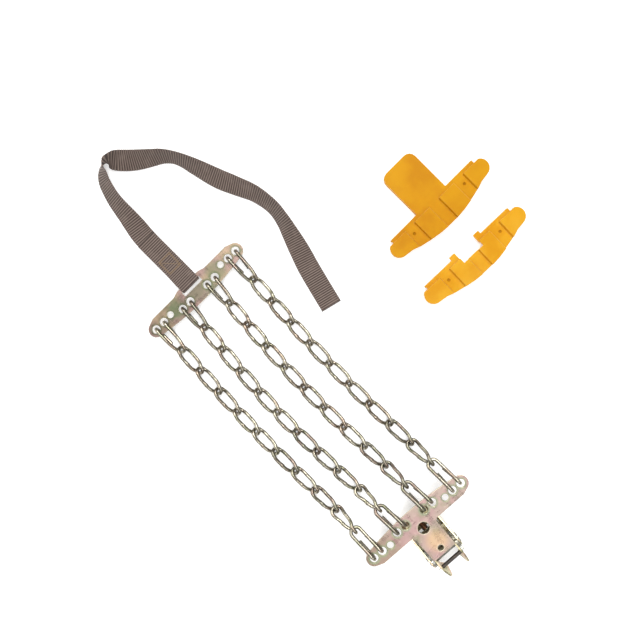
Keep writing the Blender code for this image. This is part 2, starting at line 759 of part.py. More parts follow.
def handle_profile():
    """One side plate of the handle, from its rear end to its hub round the spindle."""
    hub = arc((spindle_offset, spindle_height), hub_radius, -pi / 2, radians(118), 9)
    return [(handle_rear, 0.0), (0.0100, 0.0), (0.0260, 0.0042)] + hub + [
        (0.0140, spindle_height + 0.0022), (-0.0080, spindle_height - 0.0018),
        (handle_rear, spindle_height - 0.0048)]


def build_handle(kit, holder, origin):
    half = handle_outer_face - handle_sheet / 2
    low = handle_sheet / 4
    web = rectangle(handle_rear + low, web_front, -half, half)
    handle = kit.piece("ratchet_handle", flat_mesh("handle_web", [web], low, low + handle_sheet),
                       kit.ratchet, holder, origin)
    pawl_height = spindle_height - drive_pawl_drop
    slot_half = pawl_thickness / 2 + running_gap
    slot = rectangle(crossbar_front - crossbar_depth - drive_travel - running_gap,
                     crossbar_front + running_gap, pawl_height - slot_half, pawl_height + slot_half)
    holes = [circle((spindle_offset, spindle_height), spindle_radius + running_gap, 24), slot]
    for name, low in (("handle_side_left", handle_inner_face), ("handle_side_right", -handle_outer_face)):
        side = upright_mesh(name, [handle_profile()] + holes, low, low + handle_sheet)
        kit.combine(handle, side, "UNION")
    wall = rectangle(handle_rear + 0.0002, handle_rear + handle_sheet, 0.0006, spindle_height - 0.0053)
    kit.combine(handle, upright_mesh("handle_rear_wall", [wall], -half, half), "UNION")


def build_drive_pawl(kit, holder, origin):
    """A U-shaped slider: two arms reach the wheels, its crossbar passes through the handle's sides."""
    height = spindle_height - drive_pawl_drop
    low_edge = drive_pawl_drop - pawl_thickness / 2
    front = spindle_offset - sqrt(wheel_radius ** 2 - low_edge ** 2) - drive_pawl_tip_gap
    rear = crossbar_front - crossbar_depth
    bar_half = handle_outer_face + finger_tab
    arm_in = wheel_inner_face
    arm_out = wheel_outer_face
    half = [(rear, bar_half), (crossbar_front, bar_half), (crossbar_front, arm_out), (front, arm_out),
            (front, arm_in), (crossbar_front, arm_in)]
    outline = half + [(x, -y) for x, y in reversed(half)]
    mesh = flat_mesh("drive_pawl", [outline], height - pawl_thickness / 2, height + pawl_thickness / 2)
    kit.piece("drive_pawl", mesh, kit.ratchet, holder, origin)


def build_guide_pin(kit, holder):
    half = frame_outer_half - 0.0001
    bpy.ops.mesh.primitive_cylinder_add(vertices=12, radius=guide_pin_radius, depth=2 * half)
    pin = bpy.context.object
    mesh = pin.data
    bpy.data.objects.remove(pin)
    place = Matrix.Translation((guide_pin_offset, 0, spindle_height))
    mesh.transform(place @ Matrix.Rotation(pi / 2, 4, "X"))
    kit.piece("guide_pin", mesh, kit.ratchet, holder)


# ---------------------------------------------------------------- pads

def pad_outline(back_points):
    """The arched edge at +X; back_points run down the straight edge, from +Y to -Y."""
    lobe_y = pad_length / 2 - pad_lobe_radius
    lobe_edge = peg_inset + pad_lobe_radius
    flat = centre_band_half
    edge = [(pad_width, -flat), (pad_width, flat), (pad_width - 0.0009, 0.0190),
            (pad_width - 0.0030, boss_band_inner), (pad_width - 0.0058, boss_band_outer - 0.0020),
            (lobe_edge + 0.0012, 0.0550)]
    right = [(x, -y) for x, y in reversed(edge[2:])] + edge
    top = arc((peg_inset, lobe_y), pad_lobe_radius, 0.0, radians(150), 8)
    bottom = arc((peg_inset, -lobe_y), pad_lobe_radius, radians(-150), 0.0, 8)
    return right + top + back_points + bottom


def deck_profile(low_side):
    """The stepped top of a pad across its length, and its underside (or the low level if low_side)."""
    end = pad_length / 2 + 0.002
    low = pad_low_top
    high = pad_low_top + pad_band_rise
    half = band_slope / 2
    steps = [(-end, high), (-boss_band_outer - half, high), (-boss_band_outer + half, low),
             (-boss_band_inner - half, low), (-boss_band_inner + half, high),
             (-centre_band_half - half, high), (-centre_band_half + half, low)]
    top = steps + [(-y, z) for y, z in reversed(steps)]
    if low_side:
        return top + [(end, low - pad_sheet), (-end, low - pad_sheet)]
    return top + [(y, z - pad_sheet) for y, z in reversed(top)]


def deck_mesh(name, low_side, x_low, x_high):
    """The stepped profile drawn across Y and carried along X."""
    mesh = flat_mesh(name, [deck_profile(low_side)], x_low, x_high)
    mesh.transform(Matrix(((0, 0, 1, 0), (1, 0, 0, 0), (0, 1, 0, 0), (0, 0, 0, 1))))
    return mesh


def pad_deck(name):
    return deck_mesh(name, False, pad_skirt_start + 0.0005, pad_width + 0.0020)


def finish_pad(kit, pad, outline, flat_loop, skirts):
    """Cuts the stepped deck to its outline, then adds the flat strip, the skirts and the two pegs."""
    rib = deck_mesh(pad.name + "_rib", True, pad_skirt_start, pad_skirt_start + pad_sheet)
    kit.combine(pad, rib, "UNION")
    kit.combine(pad, flat_mesh(pad.name + "_outline", [outline], -0.001, 0.03), "INTERSECT")
    low = pad_low_top - pad_sheet
    kit.combine(pad, flat_mesh(pad.name + "_strip", [flat_loop], low, pad_low_top), "UNION")
    for i, skirt in enumerate(skirts):
        kit.combine(pad, flat_mesh("%s_skirt_%d" % (pad.name, i), skirt, ground_gap, low + 0.001), "UNION")
    for side in (-1, 1):
        round_peg = circle((peg_inset, side * pad_hole_offset), pad_hole_radius - peg_clearance, 12)
        peg = flat_mesh("%s_peg_%d" % (pad.name, side), [round_peg], ground_gap, low + 0.001)
        kit.combine(pad, peg, "UNION")


def build_tongue_pad(kit):
    holder = kit.empty("tongue_pad_origin", tongue_pad_place)
    step_y = pad_length / 2 - pad_lobe_radius
    half = tongue_pad_stem_width / 2
    end = -tongue_pad_stem_length
    back = [(0, step_y), (0, half)]
    back += rounded_corner((end, half), stem_corner, pi / 2)
    back += rounded_corner((end, -half), stem_corner, pi)
    back += [(0, -half), (0, -step_y)]
    outline = pad_outline(back)
    pad = kit.piece("tongue_pad", pad_deck("tongue_pad_deck"), kit.plastic, holder)
    strip = [(pad_strip, step_y), (0, step_y)] + back[1:-1] + [(0, -step_y), (pad_strip, -step_y)]
    inner_end = end + pad_sheet
    inner_half = half - pad_sheet
    inner_corner = stem_corner - pad_sheet
    rim_inner = [(pad_sheet * 2, inner_half)]
    rim_inner += rounded_corner((inner_end, inner_half), inner_corner, pi / 2)
    rim_inner += rounded_corner((inner_end, -inner_half), inner_corner, pi)
    rim_inner += [(pad_sheet * 2, -inner_half)]
    rim = [(pad_sheet * 2, half)] + back[2:-2] + [(pad_sheet * 2, -half)] + list(reversed(rim_inner))
    skirts = [[rim], [rectangle(0, pad_sheet, half - 0.001, step_y)],
              [rectangle(0, pad_sheet, -step_y, -half + 0.001)]]
    finish_pad(kit, pad, outline, strip, skirts)


def build_notched_pad(kit):
    holder = kit.empty("notched_pad_origin", notched_pad_place, notched_pad_turn)
    step_y = pad_length / 2 - pad_lobe_radius
    half = pad_notch_width / 2
    tab = half + tab_width
    back = [(0, step_y), (0, tab), (-tab_length, tab), (-tab_length, half), (pad_notch_depth, half),
            (pad_notch_depth, -half), (-tab_length, -half), (-tab_length, -tab), (0, -tab), (0, -step_y)]
    pad = kit.piece("notched_pad", pad_deck("notched_pad_deck"), kit.plastic, holder)
    strip = [(pad_strip, step_y)] + back[:4] + [(pad_strip, half)]
    skirts = [[rectangle(0, pad_sheet, half + 0.001, step_y)],
              [rectangle(0, pad_sheet, -step_y, -half - 0.001)]]
    finish_pad(kit, pad, pad_outline(back), strip, skirts)
    low = pad_low_top - pad_sheet
    other = flat_mesh("notched_pad_strip_lower", [[(x, -y) for x, y in reversed(strip)]], low, pad_low_top)
    kit.combine(pad, other, "UNION")


def main():
    clear_scene()
    kit = Kit()
    build_chains(kit)
    build_strap_plate(kit)
    build_strap(kit)
    ratchet = kit.empty("ratchet_plate_origin", ratchet_plate_origin(), -ratchet_plate_yaw)
    axle = Vector((spindle_offset, 0, spindle_height))
    build_ratchet_plate(kit, ratchet)
    build_frame(kit, ratchet)
    build_lock_pawl(kit, ratchet)
    build_springs(kit, ratchet, axle)
    build_spindle(kit, ratchet, axle)
    build_handle(kit, ratchet, axle)
    build_drive_pawl(kit, ratchet, axle)
    build_guide_pin(kit, ratchet)
    build_tongue_pad(kit)
    build_notched_pad(kit)


main()
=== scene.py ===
import json
import random
from math import atan, copysign, cos, exp, pi, radians, sin, sqrt, tan

import bmesh
import bpy
from mathutils import Matrix, Vector


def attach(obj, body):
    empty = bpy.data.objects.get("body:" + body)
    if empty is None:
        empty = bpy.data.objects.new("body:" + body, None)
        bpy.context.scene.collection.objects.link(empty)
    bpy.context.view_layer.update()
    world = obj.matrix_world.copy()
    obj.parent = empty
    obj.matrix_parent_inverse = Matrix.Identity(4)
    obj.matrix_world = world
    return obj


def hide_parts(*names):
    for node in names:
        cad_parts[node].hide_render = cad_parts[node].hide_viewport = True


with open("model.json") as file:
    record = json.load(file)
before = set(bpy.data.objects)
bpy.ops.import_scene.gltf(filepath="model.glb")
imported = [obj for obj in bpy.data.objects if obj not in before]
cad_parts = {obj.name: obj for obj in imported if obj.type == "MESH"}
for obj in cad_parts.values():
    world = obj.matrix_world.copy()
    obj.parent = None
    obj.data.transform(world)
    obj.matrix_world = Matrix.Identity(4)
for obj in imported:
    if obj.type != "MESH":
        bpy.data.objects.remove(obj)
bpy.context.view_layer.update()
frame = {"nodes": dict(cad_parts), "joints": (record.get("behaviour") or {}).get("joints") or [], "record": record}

# Looks of an emergency traction mat: chains, two stamped plates, a strap, a ratchet and two pads.

joints = {joint["name"]: joint for joint in frame["joints"]}
mounts = {mount["name"]: Vector(mount["pos_m"]) for mount in frame["record"]["mounts"]}
print("frame loaded:", len(frame["nodes"]), "nodes")

# camera, floor and light

studio = {"centre": (-0.0862, -0.0538), "height": 0.75, "field": 0.7315, "turn": 45,
          "floorSize": 30.0, "floorColor": (0.80, 0.80, 0.79), "floorGlow": 0.42,
          "floorDrop": 0.0003, "horizon": (0.20, 0.20, 0.205, 1), "zenith": (0.92, 0.93, 0.95, 1),
          "skyStrength": 0.62}

# name, place, size and power of each lamp, and its colour
lamps = (("keySoftbox", (-0.75, 0.55, 1.30), (0.9, 0.9), 17, (1, 1, 1)),
         ("topSoftbox", (0.05, -0.05, 1.50), (0.5, 0.5), 7, (1, 1, 1)),
         ("fillSoftbox", (1.05, -0.60, 1.20), (0.9, 0.9), 6, (1, 1, 1)),
         ("lowStrip", (-0.9, -1.0, 0.50), (1.0, 0.25), 4, (1.0, 0.97, 0.93)))


def placedObject(name, data):
    item = bpy.data.objects.new(name, data)
    bpy.context.scene.collection.objects.link(item)
    return item


def addCamera():
    data = bpy.data.cameras.new("camera")
    data.sensor_width = 36
    data.lens = 36 * studio["height"] / studio["field"]
    data.clip_start = 0.01
    camera = placedObject("camera", data)
    camera.location = (*studio["centre"], studio["height"])
    camera.rotation_euler = (0, 0, radians(studio["turn"]))
    bpy.context.scene.camera = camera


def addLight(name, place, size, power, color):
    data = bpy.data.lights.new(name, "AREA")
    data.shape = "RECTANGLE"
    data.size, data.size_y = size
    data.energy = power
    data.color = color
    lamp = placedObject(name, data)
    lamp.location = place
    lamp.rotation_euler = (-Vector(place)).to_track_quat("-Z", "Y").to_euler()


def addStudio():
    half = studio["floorSize"] / 2
    mesh = bpy.data.meshes.new("floor")
    corners = [(-half, -half, 0), (half, -half, 0), (half, half, 0), (-half, half, 0)]
    mesh.from_pydata(corners, [], [(0, 1, 2, 3)])
    paper = bpy.data.materials.new("floorPaper")
    paper.use_nodes = True
    shader = paper.node_tree.nodes["Principled BSDF"]
    shader.inputs["Base Color"].default_value = (*studio["floorColor"], 1)
    shader.inputs["Roughness"].default_value = 0.9
    shader.inputs["Emission Color"].default_value = (1, 1, 1, 1)
    shader.inputs["Emission Strength"].default_value = studio["floorGlow"]
    mesh.materials.append(paper)
    ground = placedObject("floor", mesh)
    ground.location.z = -studio["floorDrop"]
    for lamp in lamps:
        addLight(*lamp)
    world = bpy.data.worlds.new("studio")
    world.use_nodes = True
    tree = world.node_tree
    height = partsOf(tree, tree.nodes.new("ShaderNodeTexCoord").outputs["Generated"])["Z"]
    sky = mixOf(tree, stepOf(tree, height, 0.15, 0.95), studio["horizon"], studio["zenith"])
    tree.links.new(sky, tree.nodes["Background"].inputs["Color"])
    tree.nodes["Background"].inputs["Strength"].default_value = studio["skyStrength"]
    bpy.context.scene.world = world
    bpy.context.scene.view_settings.view_transform = "Standard"


# small helpers for shader nodes

def linear(shade):
    return ((shade / 255 + 0.055) / 1.055) ** 2.4 if shade > 10 else shade / 3294


def rgb(red, green, blue):
    return linear(red), linear(green), linear(blue), 1.0


def put(tree, kind, inputs=None, **settings):
    node = tree.nodes.new("ShaderNode" + kind)
    for label, value in settings.items():
        setattr(node, label, value)
    for label, value in (inputs or {}).items():
        if isinstance(value, bpy.types.NodeSocket):
            tree.links.new(value, node.inputs[label])
        else:
            node.inputs[label].default_value = value
    return node


def stepOf(tree, value, low, high):
    return put(tree, "MapRange", {"Value": value, "From Min": low, "From Max": high},
               interpolation_type="SMOOTHSTEP").outputs["Result"]


def spanOf(tree, value, low, high):
    return put(tree, "MapRange", {"Value": value, "To Min": low, "To Max": high}).outputs["Result"]


def mixOf(tree, share, first, second):
    return put(tree, "Mix", {0: share, 6: first, 7: second}, data_type="RGBA").outputs[2]


def mathOf(tree, operation, first, second=0.0):
    return put(tree, "Math", {0: first, 1: second}, operation=operation).outputs[0]


def scaleOf(tree, value, factor):
    return mathOf(tree, "MULTIPLY", value, factor)


def waveOf(tree, kind, turns):
    # a sine or cosine of whole turns, from 0 to 1
    wave = mathOf(tree, kind, scaleOf(tree, turns, 2 * pi))
    return scaleOf(tree, mathOf(tree, "ADD", wave, 1.0), 0.5)


def partsOf(tree, vector):
    return put(tree, "SeparateXYZ", {0: vector}).outputs


def objectPlace(tree):
    return tree.nodes.new("ShaderNodeTexCoord").outputs["Object"]


def attributeOf(tree, name, output):
    return put(tree, "Attribute", attribute_name=name).outputs[output]


def noiseOf(tree, vector, scale, detail=3.0):
    return put(tree, "TexNoise", {"Vector": vector, "Scale": scale, "Detail": detail}).outputs["Fac"]


def vectorOf(tree, operation, first, second):
    return put(tree, "VectorMath", {0: first, 1: second}, operation=operation).outputs[0]


def startGroup(name, inputs, outputs):
    tree = bpy.data.node_groups.new(name, "ShaderNodeTree")
    for label, kind, value in inputs:
        socket = tree.interface.new_socket(label, in_out="INPUT", socket_type="NodeSocket" + kind)
        if value is not None:
            socket.default_value = value
    for label, kind in outputs:
        tree.interface.new_socket(label, in_out="OUTPUT", socket_type="NodeSocket" + kind)
    return tree, tree.nodes.new("NodeGroupInput").outputs, tree.nodes.new("NodeGroupOutput").inputs


def useGroup(tree, group, inputs):
    node = tree.nodes.new("ShaderNodeGroup")
    node.node_tree = bpy.data.node_groups[group]
    for label, value in inputs.items():
        if isinstance(value, bpy.types.NodeSocket):
            tree.links.new(value, node.inputs[label])
        else:
            node.inputs[label].default_value = value
    return node.outputs


# shader effects that several materials share

def makePassivation():
    # the drifting rainbow tints of yellow zinc
    inputs = [("Vector", "Vector", None), ("Scale", "Float", 40.0), ("Base", "Color", None),
              ("Warm", "Color", None), ("Green", "Color", None), ("Pale", "Color", None)]
    tree, given, made = startGroup("passivation", inputs, [("Color", "Color")])
    scale = given["Scale"]
    broad = noiseOf(tree, given["Vector"], scale, 2.0)
    shifted = vectorOf(tree, "ADD", given["Vector"], (0.31, 0.17, 0.05))
    second = noiseOf(tree, shifted, scaleOf(tree, scale, 1.3), 3.0)
    fine = noiseOf(tree, given["Vector"], scaleOf(tree, scale, 9.0), 4.0)
    color = mixOf(tree, stepOf(tree, broad, 0.42, 0.64), given["Base"], given["Warm"])
    color = mixOf(tree, stepOf(tree, second, 0.50, 0.68), color, given["Green"])
    color = mixOf(tree, scaleOf(tree, stepOf(tree, fine, 0.50, 0.75), 0.45), color, given["Pale"])
    tree.links.new(color, made["Color"])


def makeScuff():
    # fine handling scratches and a rolled surface
    inputs = [("Vector", "Vector", None), ("Scale", "Float", 300.0)]
    tree, given, made = startGroup("scuff", inputs, [("Fac", "Float"), ("Height", "Float")])
    stretched = vectorOf(tree, "MULTIPLY", given["Vector"], (1.0, 0.12, 1.0))
    crossed = vectorOf(tree, "MULTIPLY", given["Vector"], (0.15, 1.0, 1.0))
    lines = noiseOf(tree, stretched, given["Scale"], 4.0)
    others = noiseOf(tree, crossed, scaleOf(tree, given["Scale"], 0.7), 4.0)
    both = scaleOf(tree, mathOf(tree, "ADD", lines, others), 0.5)
    tree.links.new(stepOf(tree, both, 0.38, 0.62), made["Fac"])
    tree.links.new(both, made["Height"])


def makeSpot():
    # a soft round mark at a place, 1 inside Inner and 0 outside Outer
    inputs = [("Vector", "Vector", None), ("Centre", "Vector", None), ("Inner", "Float", 0.004),
              ("Outer", "Float", 0.008)]
    tree, given, made = startGroup("spot", inputs, [("Mask", "Float")])
    distance = put(tree, "VectorMath", {0: given["Vector"], 1: given["Centre"]}, operation="DISTANCE")
    reach = stepOf(tree, distance.outputs["Value"], given["Inner"], given["Outer"])
    tree.links.new(mathOf(tree, "SUBTRACT", 1.0, reach), made["Mask"])


def makeWeave():
    # Place holds the distance along and across the webbing, in metres
    inputs = [("Place", "Vector", None), ("Pitch", "Float", 0.0026), ("Thread", "Float", 0.0011)]
    outputs = [(label, "Float") for label in ("Rib", "Yarn", "Height")]
    tree, given, made = startGroup("weave", inputs, outputs)
    place = partsOf(tree, given["Place"])
    turns = mathOf(tree, "DIVIDE", place["X"], given["Pitch"])
    halfStep = scaleOf(tree, mathOf(tree, "FLOOR", mathOf(tree, "ADD", turns, 0.5)), 0.5)
    yarns = mathOf(tree, "ADD", mathOf(tree, "DIVIDE", place["Y"], given["Thread"]), halfStep)
    yarn = waveOf(tree, "SINE", yarns)
    fibre = noiseOf(tree, vectorOf(tree, "MULTIPLY", given["Place"], (1.0, 5.0, 1.0)), 1400.0, 3.0)
    height = mathOf(tree, "ADD", scaleOf(tree, yarn, 0.6), scaleOf(tree, fibre, 0.5))
    tree.links.new(waveOf(tree, "COSINE", turns), made["Rib"])
    tree.links.new(yarn, made["Yarn"])
    tree.links.new(height, made["Height"])


def makeGrain():
    # the fine matt grain of a moulding, and slow cloudiness in its colour
    inputs = [("Vector", "Vector", None), ("Scale", "Float", 1500.0)]
    tree, given, made = startGroup("mouldGrain", inputs, [("Cloud", "Float"), ("Height", "Float")])
    tree.links.new(noiseOf(tree, given["Vector"], 45.0, 3.0), made["Cloud"])
    tree.links.new(noiseOf(tree, given["Vector"], given["Scale"], 2.0), made["Height"])


def newMaterial(name, roughness, metallic=0.0):
    material = bpy.data.materials.new(name)
    material.use_nodes = True
    shader = material.node_tree.nodes["Principled BSDF"]
    shader.inputs["Metallic"].default_value = metallic
    shader.inputs["Roughness"].default_value = roughness
    return material, material.node_tree, shader


def addBump(tree, shader, height, strength, distance):
    bump = put(tree, "Bump", {"Height": height, "Strength": strength, "Distance": distance})
    tree.links.new(bump.outputs["Normal"], shader.inputs["Normal"])


def marksOn(tree, vector, color, marks):
    # each mark is (colour, strength, places), and a place is (centre, inner, outer)
    for tint, strength, places in marks:
        mask = None
        for centre, inner, outer in places:
            found = useGroup(tree, "spot", {"Vector": vector, "Centre": centre, "Inner": inner,
                                            "Outer": outer})["Mask"]
            mask = found if mask is None else mathOf(tree, "MAXIMUM", mask, found)
        color = mixOf(tree, scaleOf(tree, mask, strength), color, tint)
    return color


def zincMaterial(name, look, marks=()):
    material, tree, shader = newMaterial(name, look["rough"][0], look["metallic"])
    vector = objectPlace(tree)
    tints = {label: look[label.lower()] for label in ("Scale", "Base", "Warm", "Green", "Pale")}
    color = useGroup(tree, "passivation", {"Vector": vector, **tints})["Color"]
    color = marksOn(tree, vector, color, marks)
    scuff = useGroup(tree, "scuff", {"Vector": vector, "Scale": look["scuff"]})
    edge = attributeOf(tree, "edgeBand", "Fac")
    worn = scaleOf(tree, edge, spanOf(tree, scuff["Fac"], 0.35, 1.0))
    color = mixOf(tree, worn, color, look["edge"])
    tree.links.new(color, shader.inputs["Base Color"])
    tree.links.new(spanOf(tree, scuff["Fac"], *look["rough"]), shader.inputs["Roughness"])
    addBump(tree, shader, scuff["Height"], look["bump"], 0.0002)
    return material


makePassivation()
makeScuff()
makeSpot()
makeWeave()
makeGrain()
addCamera()
addStudio()
print("studio and shader groups ready")

# small helpers for meshes

def bakedMesh(holder):
    graph = bpy.context.evaluated_depsgraph_get()
    made = bpy.data.meshes.new_from_object(holder.evaluated_get(graph))
    bpy.data.objects.remove(holder)
    return made


def meshFrom(work, name):
    bmesh.ops.recalc_face_normals(work, faces=work.faces)
    mesh = bpy.data.meshes.new(name)
    work.to_mesh(mesh)
    work.free()
    return mesh


def softened(mesh, sharpAngle):
    mesh.shade_smooth()
    mesh.set_sharp_from_angle(angle=radians(sharpAngle))
    return mesh


def skinRings(work, rings):
    # quads from each ring of points to the next, and a cap on both ends
    count = len(rings[0])
    for ring, following in zip(rings, rings[1:]):
        for i in range(count):
            j = (i + 1) % count
            work.faces.new((ring[i], ring[j], following[j], following[i]))
    work.faces.new(rings[0])
    work.faces.new(rings[-1])


def addSpline(curve, path, cyclic):
    # a point may carry a fourth number, its share of the curve's bevel
    spline = curve.splines.new("POLY")
    spline.points.add(len(path) - 1)
    for slot, point in zip(spline.points, path):
        slot.co = (*point[:3], 1.0)
        slot.radius = point[3] if len(point) > 3 else 1.0
    spline.use_cyclic_u = cyclic


def wireMesh(name, paths, radius, cyclic=False, resolution=4):
    # round wire along each path
    curve = bpy.data.curves.new(name, "CURVE")
    curve.dimensions = "3D"
    curve.bevel_depth = radius
    curve.bevel_resolution = resolution
    curve.use_fill_caps = True
    for path in paths:
        addSpline(curve, path, cyclic)
    return meshOfCurve(curve, name)


def meshOfCurve(curve, name):
    mesh = bakedMesh(placedObject(name + "Curve", curve))
    mesh.name = name
    bpy.data.curves.remove(curve)
    work = bmesh.new()
    work.from_mesh(mesh)
    bmesh.ops.remove_doubles(work, verts=work.verts, dist=0.000002)
    bmesh.ops.recalc_face_normals(work, faces=work.faces)
    work.to_mesh(mesh)
    work.free()
    return softened(mesh, 50)


def arc(centre, radius, start, stop, steps):
    return [(centre[0] + radius * cos(start + (stop - start) * i / steps),
             centre[1] + radius * sin(start + (stop - start) * i / steps)) for i in range(steps + 1)]


def circle(centre, radius, steps=40):
    return arc(centre, radius, 0.0, 2 * pi * (steps - 1) / steps, steps - 1)


def stampedMesh(name, loops, low, high, rounding):
    # a sheet with rolled edges; loops[0] is the outline and the others are holes
    curve = bpy.data.curves.new(name, "CURVE")
    curve.dimensions = "2D"
    curve.fill_mode = "BOTH"
    curve.extrude = (high - low) / 2 - rounding
    curve.bevel_depth = rounding
    curve.bevel_resolution = 2
    curve.offset = -rounding
    for loop in loops:
        addSpline(curve, [(x, y, 0.0) for x, y in loop], True)
    mesh = meshOfCurve(curve, name)
    middle = (high + low) / 2
    mesh.transform(Matrix.Translation((0, 0, middle)))
    band = mesh.attributes.new("edgeBand", "FLOAT", "FACE")
    for face in mesh.polygons:
        beside = abs(face.center.z - middle) < high - middle - 0.00002
        band.data[face.index].value = 1.0 if beside else 0.0
        face.use_smooth = beside
    return mesh


def addPiece(name, mesh, material, body, replaced=()):
    piece = placedObject(name, mesh)
    mesh.materials.clear()
    mesh.materials.append(material)
    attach(piece, body)
    if replaced:
        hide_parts(*replaced)
    return piece


def finishedMesh(node, rounding, segments=2):
    # the CAD solid with its sharp edges rolled over
    work = bmesh.new()
    work.from_mesh(frame["nodes"][node].data)
    band = work.faces.layers.float.new("edgeBand")
    bmesh.ops.remove_doubles(work, verts=work.verts, dist=0.00001)
    bmesh.ops.dissolve_limit(work, angle_limit=radians(0.5), verts=work.verts, edges=work.edges)
    sharp = [edge for edge in work.edges if edge.calc_face_angle(0.0) > radians(32)]
    rolled = bmesh.ops.bevel(work, geom=sharp, offset=rounding, segments=segments, profile=0.5,
                             affect="EDGES", clamp_overlap=True)
    for face in work.faces:
        face.smooth = True
    for face in rolled["faces"]:
        face[band] = 1.0
    bmesh.ops.triangulate(work, faces=[face for face in work.faces if len(face.verts) > 4])
    return evenShading(meshFrom(work, "finished_" + node))


def evenShading(mesh):
    # large flat faces set the shading, so that rolled edges don't cloud them
    holder = placedObject("shading", mesh)
    mesh.set_sharp_from_angle(angle=radians(60))
    holder.modifiers.new("even", "WEIGHTED_NORMAL").keep_sharp = True
    return bakedMesh(holder)


# strap: a free flat cord, folded through the strap plate's slot and sewn back on itself

strap = {"width": 0.0250, "thickness": 0.0017, "groundGap": 0.0002, "touchGap": 0.0003,
         "plateTop": 0.0084, "plateThickness": 0.0025, "flap": 0.0705, "slotInner": 0.0024, "bulge": 0.0024,
         "ribPitch": 0.0026, "ribDepth": 0.00045, "step": 0.00052, "selvedge": 0.0006,
         "scallop": 0.018, "light": rgb(139, 122, 112), "main": rgb(100, 84, 76), "dark": rgb(42, 31, 27)}

# along and across from the strap plate's straight edge, and the tilt in degrees, as in the CAD
strapRoute = (
    (-0.0640, 0.0000, 0), (-0.0780, 0.0006, 0), (-0.0900, 0.0024, -13), (-0.1030, 0.0042, -28),
    (-0.1150, 0.0054, -37), (-0.1270, 0.0072, -42), (-0.1385, 0.0102, -45), (-0.1480, 0.0136, -47),
    (-0.1552, 0.0184, -51), (-0.1604, 0.0246, -64), (-0.1618, 0.0310, -92), (-0.1594, 0.0362, -124),
    (-0.1550, 0.0412, -147), (-0.1490, 0.0472, -151), (-0.1420, 0.0545, -145), (-0.1350, 0.0628, -135),
    (-0.1285, 0.0710, -125), (-0.1215, 0.0798, -117), (-0.1125, 0.0872, -113), (-0.1012, 0.0928, -118),
    (-0.0850, 0.0985, -130), (-0.0600, 0.1068, -144), (-0.0400, 0.1152, -140), (-0.0180, 0.1240, -130),
    (0.0062, 0.1276, -124), (0.0260, 0.1250, -128), (0.0430, 0.1204, -140), (0.0640, 0.1143, -158),
    (0.0838, 0.1082, -170), (0.1080, 0.1020, -177), (0.1328, 0.0959, -180))

plates = {"thickness": 0.0025, "middleWidth": 0.0257, "lobe": 0.0090, "lobeX": 0.0114, "outerChain": 0.0570,
          "innerChain": 0.0195, "outerInset": 0.0114, "innerInset": 0.0160, "legOffset": 0.0060,
          "chainHole": 0.0047, "padHoleY": 0.0400, "padHoleX": 0.0107, "padHole": 0.0038, "endCorner": 0.0050,
          "rounding": 0.00035, "strapTop": 0.0084, "ratchetTop": 0.0281}


def strapPlateFrame():
    hinge = Vector(joints["strap_plate_fold"]["pos_m"])
    return Matrix.Translation((hinge.x - plates["innerInset"], hinge.y, 0))


def smoothPath(points, step, turnStep):
    ends = [2 * points[0] - points[1]] + points + [2 * points[-1] - points[-2]]
    result = []
    for a, b, c, d in zip(ends, ends[1:], ends[2:], ends[3:]):
        count = max(1, round((c - b).xy.length / step), round(abs(c.z - b.z) / turnStep))
        for i in range(count):
            t = i / count
            result.append(0.5 * (2 * b + (c - a) * t + (2 * a - 5 * b + 4 * c - d) * t * t
                                 + (3 * b - a - 3 * c + d) * t ** 3))
    result.append(points[-1])
    return result


def evenSteps(points, step):
    # straight stretches cut to about one step, then eased so that the corners are round
    result = []
    for a, b in zip(points, points[1:]):
        count = max(1, round((b - a).length / step))
        result += [a.lerp(b, i / count) for i in range(count)]
    result.append(points[-1])
    for _ in range(3):
        eased = [(a + 2 * b + c) / 4 for a, b, c in zip(result, result[1:], result[2:])]
        result = [result[0]] + eased + [result[-1]]
    return result


def strapStations():
    # centre and width direction along the whole webbing, in the strap plate's axes
    half = strap["thickness"] / 2
    over = strap["plateTop"] + strap["touchGap"] + half
    under = strap["plateTop"] - strap["plateThickness"] - strap["touchGap"] - half
    outer = strap["slotInner"] + strap["touchGap"] + half + 0.0004
    ground = half + strap["groundGap"]
    upper = ground + strap["thickness"] + strap["touchGap"]
    chamfer = 0.0012
    bulge = strap["bulge"]
    loop = [(-strap["flap"], upper), (-0.050, upper), (-0.034, upper + 0.0002), (-0.024, upper + 0.0012),
            (-0.015, upper + 0.0036), (-0.007, over - 0.0006), (-bulge - 0.0008, over),
            (outer - chamfer, over), (outer, over - chamfer), (outer, under + chamfer),
            (outer - chamfer, under), (-bulge - 0.0008, under), (-0.008, under - 0.0012),
            (-0.016, ground + 0.0014), (-0.026, ground + 0.0001), (-0.050, ground)]
    side = Vector((0, -1, 0))
    stations = [(point, side) for point in evenSteps([Vector((x, 0, z)) for x, z in loop], strap["step"])]
    slotIndex = max(range(len(stations)), key=lambda i: stations[i][0].x)
    path = [Vector((-0.050, 0, 0))] + [Vector((x, y, radians(tilt))) for x, y, tilt in strapRoute]
    samples = smoothPath(path, strap["step"], radians(1.6))
    for i in range(1, len(samples)):
        x, y, tilt = samples[i]
        before = samples[i - 1]
        after = samples[min(i + 1, len(samples) - 1)]
        heading = Vector((after[0] - before[0], after[1] - before[1], 0)).normalized()
        left = Vector((0, 0, 1)).cross(heading)
        height = strap["width"] / 2 * abs(sin(tilt)) + half * abs(cos(tilt)) + strap["groundGap"]
        stations.append((Vector((x, y, height)), left * cos(tilt) + Vector((0, 0, sin(tilt)))))
    return stations, slotIndex


